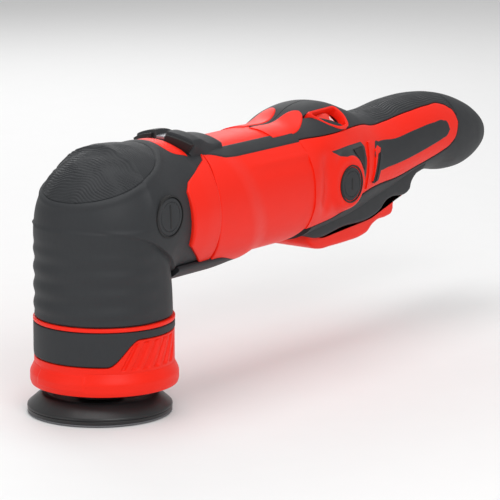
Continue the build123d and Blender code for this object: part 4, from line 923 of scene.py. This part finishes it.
def gripHalf(topShape):
    # Rubber of one side: over the top, under the belly and around the tail.
    x = np.linspace(0, 1, 430)
    start = 127.0
    x = start + (298.2 - start) * x
    seat = sideLine(x, loopX, loopTop)
    top = skin(topShape, seat + (0, 0.5), np.stack([x, 0 * x + 89.9], -1), 0.3, rows=100, rim=0.5,
               wall=2.4, relief=gripRelief, floorStep=3)
    x = np.linspace(149, 298.2, 260)
    seat = sideLine(x, lowX, loopLow)
    under = skin(handleShape, np.stack([x, 0 * x - 89.9], -1), seat - (0, 0.5), 0.3, rows=40, rim=0.7,
                 wall=2.4, floorStep=8)
    x = 298 + 49.4 * np.sin(np.linspace(0, np.pi / 2, 90))
    tail = skin(handleShape, np.stack([x, 0 * x - 89.9], -1), np.stack([x, 0 * x + 89.9], -1), 0.3,
                rows=80, rim=0.3, wall=2.4, floorStep=10)
    return merged(top, under, tail)


belly = dict(half=19.0)


def makeGrip():
    half, plain = gripHalf(windowed), gripHalf(handleShape)
    outline = through([(151.5, 80), (151.5, 70.5), (156, 67.6), (190, 68), (214, 68.8), (223, 71.5),
                       (230, 76.2), (236, 77.5), (250.6, 77.6), (253.6, 79.4), (255, 83), (259, 86.6),
                       (268, 89.4), (272, 93), (230, 95), (170, 95), (153, 90)], 150)
    outline = np.vstack([outline, [(151.6, 84)]])
    block = pillow(outline, belly["half"], 2.6)
    meshPiece("gripLeft", *merged(half, block), replaces=["grip_left"], slot="dark_rubber")
    meshPiece("gripRight", *flipped(plain), replaces=["grip_right"], slot="dark_rubber")


panelX = [205.6, 208, 214, 232, 252, 272, 282, 286, 287.2]
panelTop = [107.5, 112.6, 113.2, 112.4, 114.4, 116.0, 115.8, 113.4, 110.0]
panelLowX = [205.6, 207, 211, 222, 238, 254, 270, 280, 285, 287.2]
panelLow = [104.0, 99.6, 97.4, 97.4, 98.4, 100.4, 103.2, 105.4, 107.0, 109.6]


def makePanels():
    x = 205.6 + 81.6 * (0.5 - 0.5 * np.cos(np.linspace(0.02, np.pi - 0.02, 260)))
    panel = skin(handleShape, sideLine(x, panelX, panelTop), sideLine(x, panelLowX, panelLow), 0.55,
                 rows=44, rim=1.0, wall=1.6, floorStep=8)
    meshPiece("panelLeft", *panel, replaces=["grip_panel_left"], slot="dark_rubber")
    meshPiece("panelRight", *flipped(panel), replaces=["grip_panel_right"], slot="dark_rubber")


def sidePatch(outline, height, wall, rim=0.3, rows=10):
    # Piece on the flank inside a closed outline of (x, z), as a strip from its two long edges.
    top, low = (np.array(line, float) for line in outline)
    t = np.linspace(0, 1, 60)

    def along(line):
        run = np.r_[0, np.cumsum(np.linalg.norm(np.diff(line, axis=0), axis=1))]
        run = run / run[-1]
        x, z = (np.interp(t, run, line[:, k]) for k in (0, 1))
        return np.stack([x, turnAt(x, z)], -1)

    return skin(handleShape, along(top), along(low), height, rows=rows, rim=rim, wall=wall)


def makeVents():
    arc = np.radians(np.linspace(100, -62, 24))
    ring = np.stack([cap["brushX"] + 15.2 * np.cos(arc), axisZ - 2.5 + 15.2 * np.sin(arc)], -1)
    insertTop = [(159.5, 115.8), (176, 116.6), (191.5, 116.4), (195.6, 113.2), (197, 106), (196.4, 98),
                 (194.6, 91), (189, 84.5), (183.5, 81.4)]
    insert = sidePatch((insertTop, np.vstack([[(160.5, 114.6), (167, 111.6)], ring])), 0.25, 2.6, 0.5, 16)
    meshPiece("ventInserts", *bothSides(insert), replaces=["vent_inserts"], slot="black_plastic")
    slots = [([(181.5, 113.4), (192.0, 113.6), (193.8, 111.0)],
              [(184.6, 109.4), (190.0, 104.0), (193.6, 100.4)]),
             ([(191.6, 97.6), (193.2, 97.8)], [(190.2, 90.0), (191.8, 89.4)])]
    # painted shade: the slots are near-black patches for the shadow inside the vent openings
    holes = [sidePatch(slot, 0.75, 2.6, 0.25, 8) for slot in slots]
    fin = ([(198.8, 115.0), (201.6, 115.2)], [(197.2, 88.6), (199.6, 88.8)])
    scoop = sidePatch(([(205.4, 104.5), (206.6, 109.8), (209.6, 111.4), (212.8, 109.6)],
                       [(203.2, 92.4), (205.6, 98.6), (207.6, 103.8), (210.2, 106.4)]), 0.95, 2.4, 0.5, 10)
    slot2 = sidePatch(([(208.4, 106.8), (211.2, 107.6)], [(203.0, 91.6), (205.2, 91.0)]), 1.1, 3.0, 0.25, 8)
    bar = sidePatch(([(211.0, 107.4), (213.6, 105.4)], [(205.4, 91.6), (208.0, 92.0)]), 1.5, 3.0, 0.6, 8)
    finPart = sidePatch(fin, 0.95, 2.0, 0.8, 8)
    # painted shade: both vent slots are near-black
    dark = meshPiece("ventSlotShade", *bothSides(merged(*holes, slot2)))
    dark.data.materials.append(paintedShadeBlack)
    meshPiece("ventFins", *bothSides(merged(finPart, scoop)), slot="red_plastic")
    meshPiece("ventBars", *bothSides(bar), slot="dark_rubber")


def makeTongues():
    # Red tongues that run back from the housing's top onto the hump.
    x = 122 + 35.5 * (1 - (1 - np.linspace(0, 1, 120)) ** 2)
    near = np.clip(1 - (157.6 - x) / 17, 0, 1)
    bend = np.sqrt(1 - near ** 2.2)
    middle, half = 72.6 + 1.5 * step(x, 140, 158), 14.4 * bend + 0.05
    low, high = np.stack([x, middle - half], -1), np.stack([x, middle + half], -1)
    part = skin(handleShape, low, high, 0.75, rows=18, rim=0.8, wall=2.4)
    meshPiece("housingTongues", *bothSides(part), slot="red_plastic")


dial = dict(x=171.0, y=-20.0, z=130.8, lean=40.0, radius=11.6, half=5.4, recess=0.3, ridges=40,
            rise=1.1, numbers="123456", step=36.0)


def leaned(points):
    # Points given as (along X, up the window, out of it) put on the leaning window plane.
    lean = math.radians(dial["lean"])
    up = np.array([0, math.cos(lean), math.sin(lean)])
    out = np.array([0, -math.sin(lean), math.cos(lean)])
    points = np.asarray(points)
    return (np.array([dial["x"], dial["y"], dial["z"]]) + points[..., :1] * (1, 0, 0)
            + points[..., 1:2] * up + points[..., 2:3] * out)


def windowOutline(grow, count=16):
    # Rounded three cornered window, long side up the hump.
    corners = [(-12.4 - 1.7 * grow, 5.6 + grow), (10.2 + grow, 6.4 + grow), (12.2 + grow, 0.6),
               (9.0 + grow, -6.2 - grow), (1.5, -6.6 - grow), (-5.5 - grow, -2.6 - grow * 0.8)]
    return roundedProfile(corners, 2.6 + grow * 0.5, count)


def makeDial():
    levels = [(1.6, -4.0), (1.6, dial["rise"] - 0.6), (1.2, dial["rise"]), (0.35, dial["rise"]),
              (0.0, dial["rise"] - 0.4), (-0.25, -4.0)]
    rings = [np.column_stack([windowOutline(g), np.full(96, h)]) for g, h in levels]
    faces = gridFaces(len(levels), 96, True, True)
    meshPiece("dialBezel", leaned(np.concatenate(rings)), faces, replaces=["dial_bezel"],
              slot="red_plastic")
    r, half, depth = dial["radius"], dial["half"], dial["recess"]
    turn = np.linspace(0, 2 * np.pi, 481)[:-1]
    ridge = 0.35 * np.abs(np.sin(turn * dial["ridges"] / 2))
    profile = [(-half, 2.0, 0), (-half, r - 0.8, 0), (-half + 0.5, r - 0.5, 1), (-half + 1.3, r - 0.45, 1),
               (-half + 1.5, r - 0.1, 0), (half - 1.5, r - 0.1, 0), (half - 1.3, r - 0.45, 1),
               (half - 0.5, r - 0.5, 1), (half, r - 0.8, 0), (half, 2.0, 0)]
    rows = [np.column_stack([(rad - 0.6 * k * ridge / 0.35 + 0.2 * k) * np.sin(turn), np.full(480, a),
                             (rad - 0.6 * k * ridge / 0.35 + 0.2 * k) * np.cos(turn) - r - depth])
            for a, rad, k in profile]
    meshPiece("speedDial", leaned(np.concatenate(rows)), gridFaces(len(rows), 480, True, True),
              "dial", ["speed_dial"], "dial_plastic")
    makeNumbers(r, depth)


def makeNumbers(r, depth):
    # White figures wrapped around the wheel; figure 4 faces out of the window at rest.
    parts = []
    for k, figure in enumerate(dial["numbers"]):
        curve = bpy.data.curves.new("figure", "FONT")
        curve.body, curve.size, curve.extrude = figure, 5.4, 0.12
        curve.align_x, curve.align_y = "CENTER", "CENTER"
        flat = bpy.data.objects.new("figure", curve)
        mesh = bpy.data.meshes.new_from_object(flat)
        points = np.empty(3 * len(mesh.vertices))
        mesh.vertices.foreach_get("co", points)
        points = points.reshape(-1, 3)
        angle = points[:, 0] / r + math.radians((k - 3) * dial["step"] + 10)
        rad = r + points[:, 2]
        place = np.column_stack([rad * np.sin(angle), points[:, 1], rad * np.cos(angle) - r - depth])
        parts.append((leaned(place), [list(face.vertices) for face in mesh.polygons]))
        bpy.data.objects.remove(flat)
        bpy.data.meshes.remove(mesh)
        bpy.data.curves.remove(curve)
    numbers = meshPiece("dialNumbers", *merged(*parts), "dial")
    numbers.data.materials.append(whiteInk)


trigger = dict(half=15.5, rim=2.6)


def makeTrigger():
    outline = through([(160.5, 71.8), (158.2, 69), (158.2, 65.6), (159.6, 62.4), (163.5, 59.6), (170, 57.8),
                       (182, 57.6), (198, 57.8), (209, 58.4), (216, 60), (221, 63.4), (226, 65.2),
                       (236, 66), (240, 67), (241.6, 69.5), (242, 73), (243.5, 75.2), (250.6, 75.6),
                       (250.6, 77.4), (240, 77.6), (232, 76.4), (226, 73.2), (221, 71), (210, 69.4),
                       (190, 68.9), (166, 68.6), (163, 71.4)], 240)
    shape = pillow(outline, trigger["half"], trigger["rim"])
    meshPiece("triggerPaddle", *shape, "trigger", ["trigger"], "red_plastic")


makeShell()
makeGrip()
makePanels()
makeVents()
makeTongues()
makeDial()
makeTrigger()
print("handle, dial and trigger made")


# floor, light and camera
view = dict(lens=237.6, turn=-53.3, rise=11.6, distance=1702.2, aimX=-4.0, aimZ=1.0,
            across=-149.9, down=158.0, focal=3300.0)


def makeCamera():
    turn, rise = math.radians(view["turn"]), math.radians(view["rise"])
    back = np.array([math.sin(turn) * math.cos(rise), -math.cos(turn) * math.cos(rise), math.sin(rise)])
    right = np.array([math.cos(turn), math.sin(turn), 0])
    up = np.cross(back, right)
    scale = view["distance"] / view["focal"]
    place = (np.array([view["aimX"], 0, view["aimZ"]]) - right * view["across"] * scale
             + up * view["down"] * scale + back * view["distance"])
    camera = bpy.data.objects.new("camera", bpy.data.cameras.new("camera"))
    camera.data.sensor_width, camera.data.lens = 36, view["lens"]
    camera.data.clip_end = 20
    bpy.context.collection.objects.link(camera)
    rows = np.eye(4)
    rows[:3, 0], rows[:3, 1], rows[:3, 2], rows[:3, 3] = right, up, back, place / 1000
    camera.matrix_world = Matrix(rows.tolist())
    bpy.context.scene.camera = camera


def makeStage():
    mesh = bpy.data.meshes.new("floor")
    mesh.from_pydata([(-9, -9, 0), (9, -9, 0), (9, 9, 0), (-9, 9, 0)], [], [(0, 1, 2, 3)])
    floor = bpy.data.objects.new("floor", mesh)
    bpy.context.collection.objects.link(floor)
    floor.data.materials.append(moulded("paleFloor", (0.86, 0.86, 0.86), 0.75, 0.0, 0.01))


def makeLight(name, place, aim, size, power):
    light = bpy.data.objects.new(name, bpy.data.lights.new(name, "AREA"))
    light.data.shape, light.data.size, light.data.size_y = "RECTANGLE", size[0], size[1]
    light.data.energy = power
    bpy.context.collection.objects.link(light)
    place, aim = np.array(place), np.array(aim)
    back = (place - aim) / np.linalg.norm(place - aim)
    right = np.cross((0, 0, 1), back)
    right /= np.linalg.norm(right)
    rows = np.eye(4)
    rows[:3, 0], rows[:3, 1], rows[:3, 2], rows[:3, 3] = right, np.cross(back, right), back, place
    light.matrix_world = Matrix(rows.tolist())


makeCamera()
makeStage()
middle = (0.12, 0, 0.09)
makeLight("keyLight", (-0.5, -0.9, 0.9), middle, (0.7, 0.7), 6.2)
makeLight("topLight", (0.1, 0.1, 1.4), middle, (1.2, 0.9), 8.0)
makeLight("fillLight", (-1.3, 0.3, 0.5), middle, (0.8, 0.8), 2.0)
makeLight("rearLight", (0.9, 0.9, 0.7), middle, (0.8, 0.6), 3.5)
world = bpy.data.worlds.new("studio")
world.use_nodes = True
world.node_tree.nodes["Background"].inputs[0].default_value = (1, 1, 1, 1)
world.node_tree.nodes["Background"].inputs[1].default_value = 0.5
bpy.context.scene.world = world
bpy.context.scene.view_settings.view_transform = "Standard"

print("scene made")
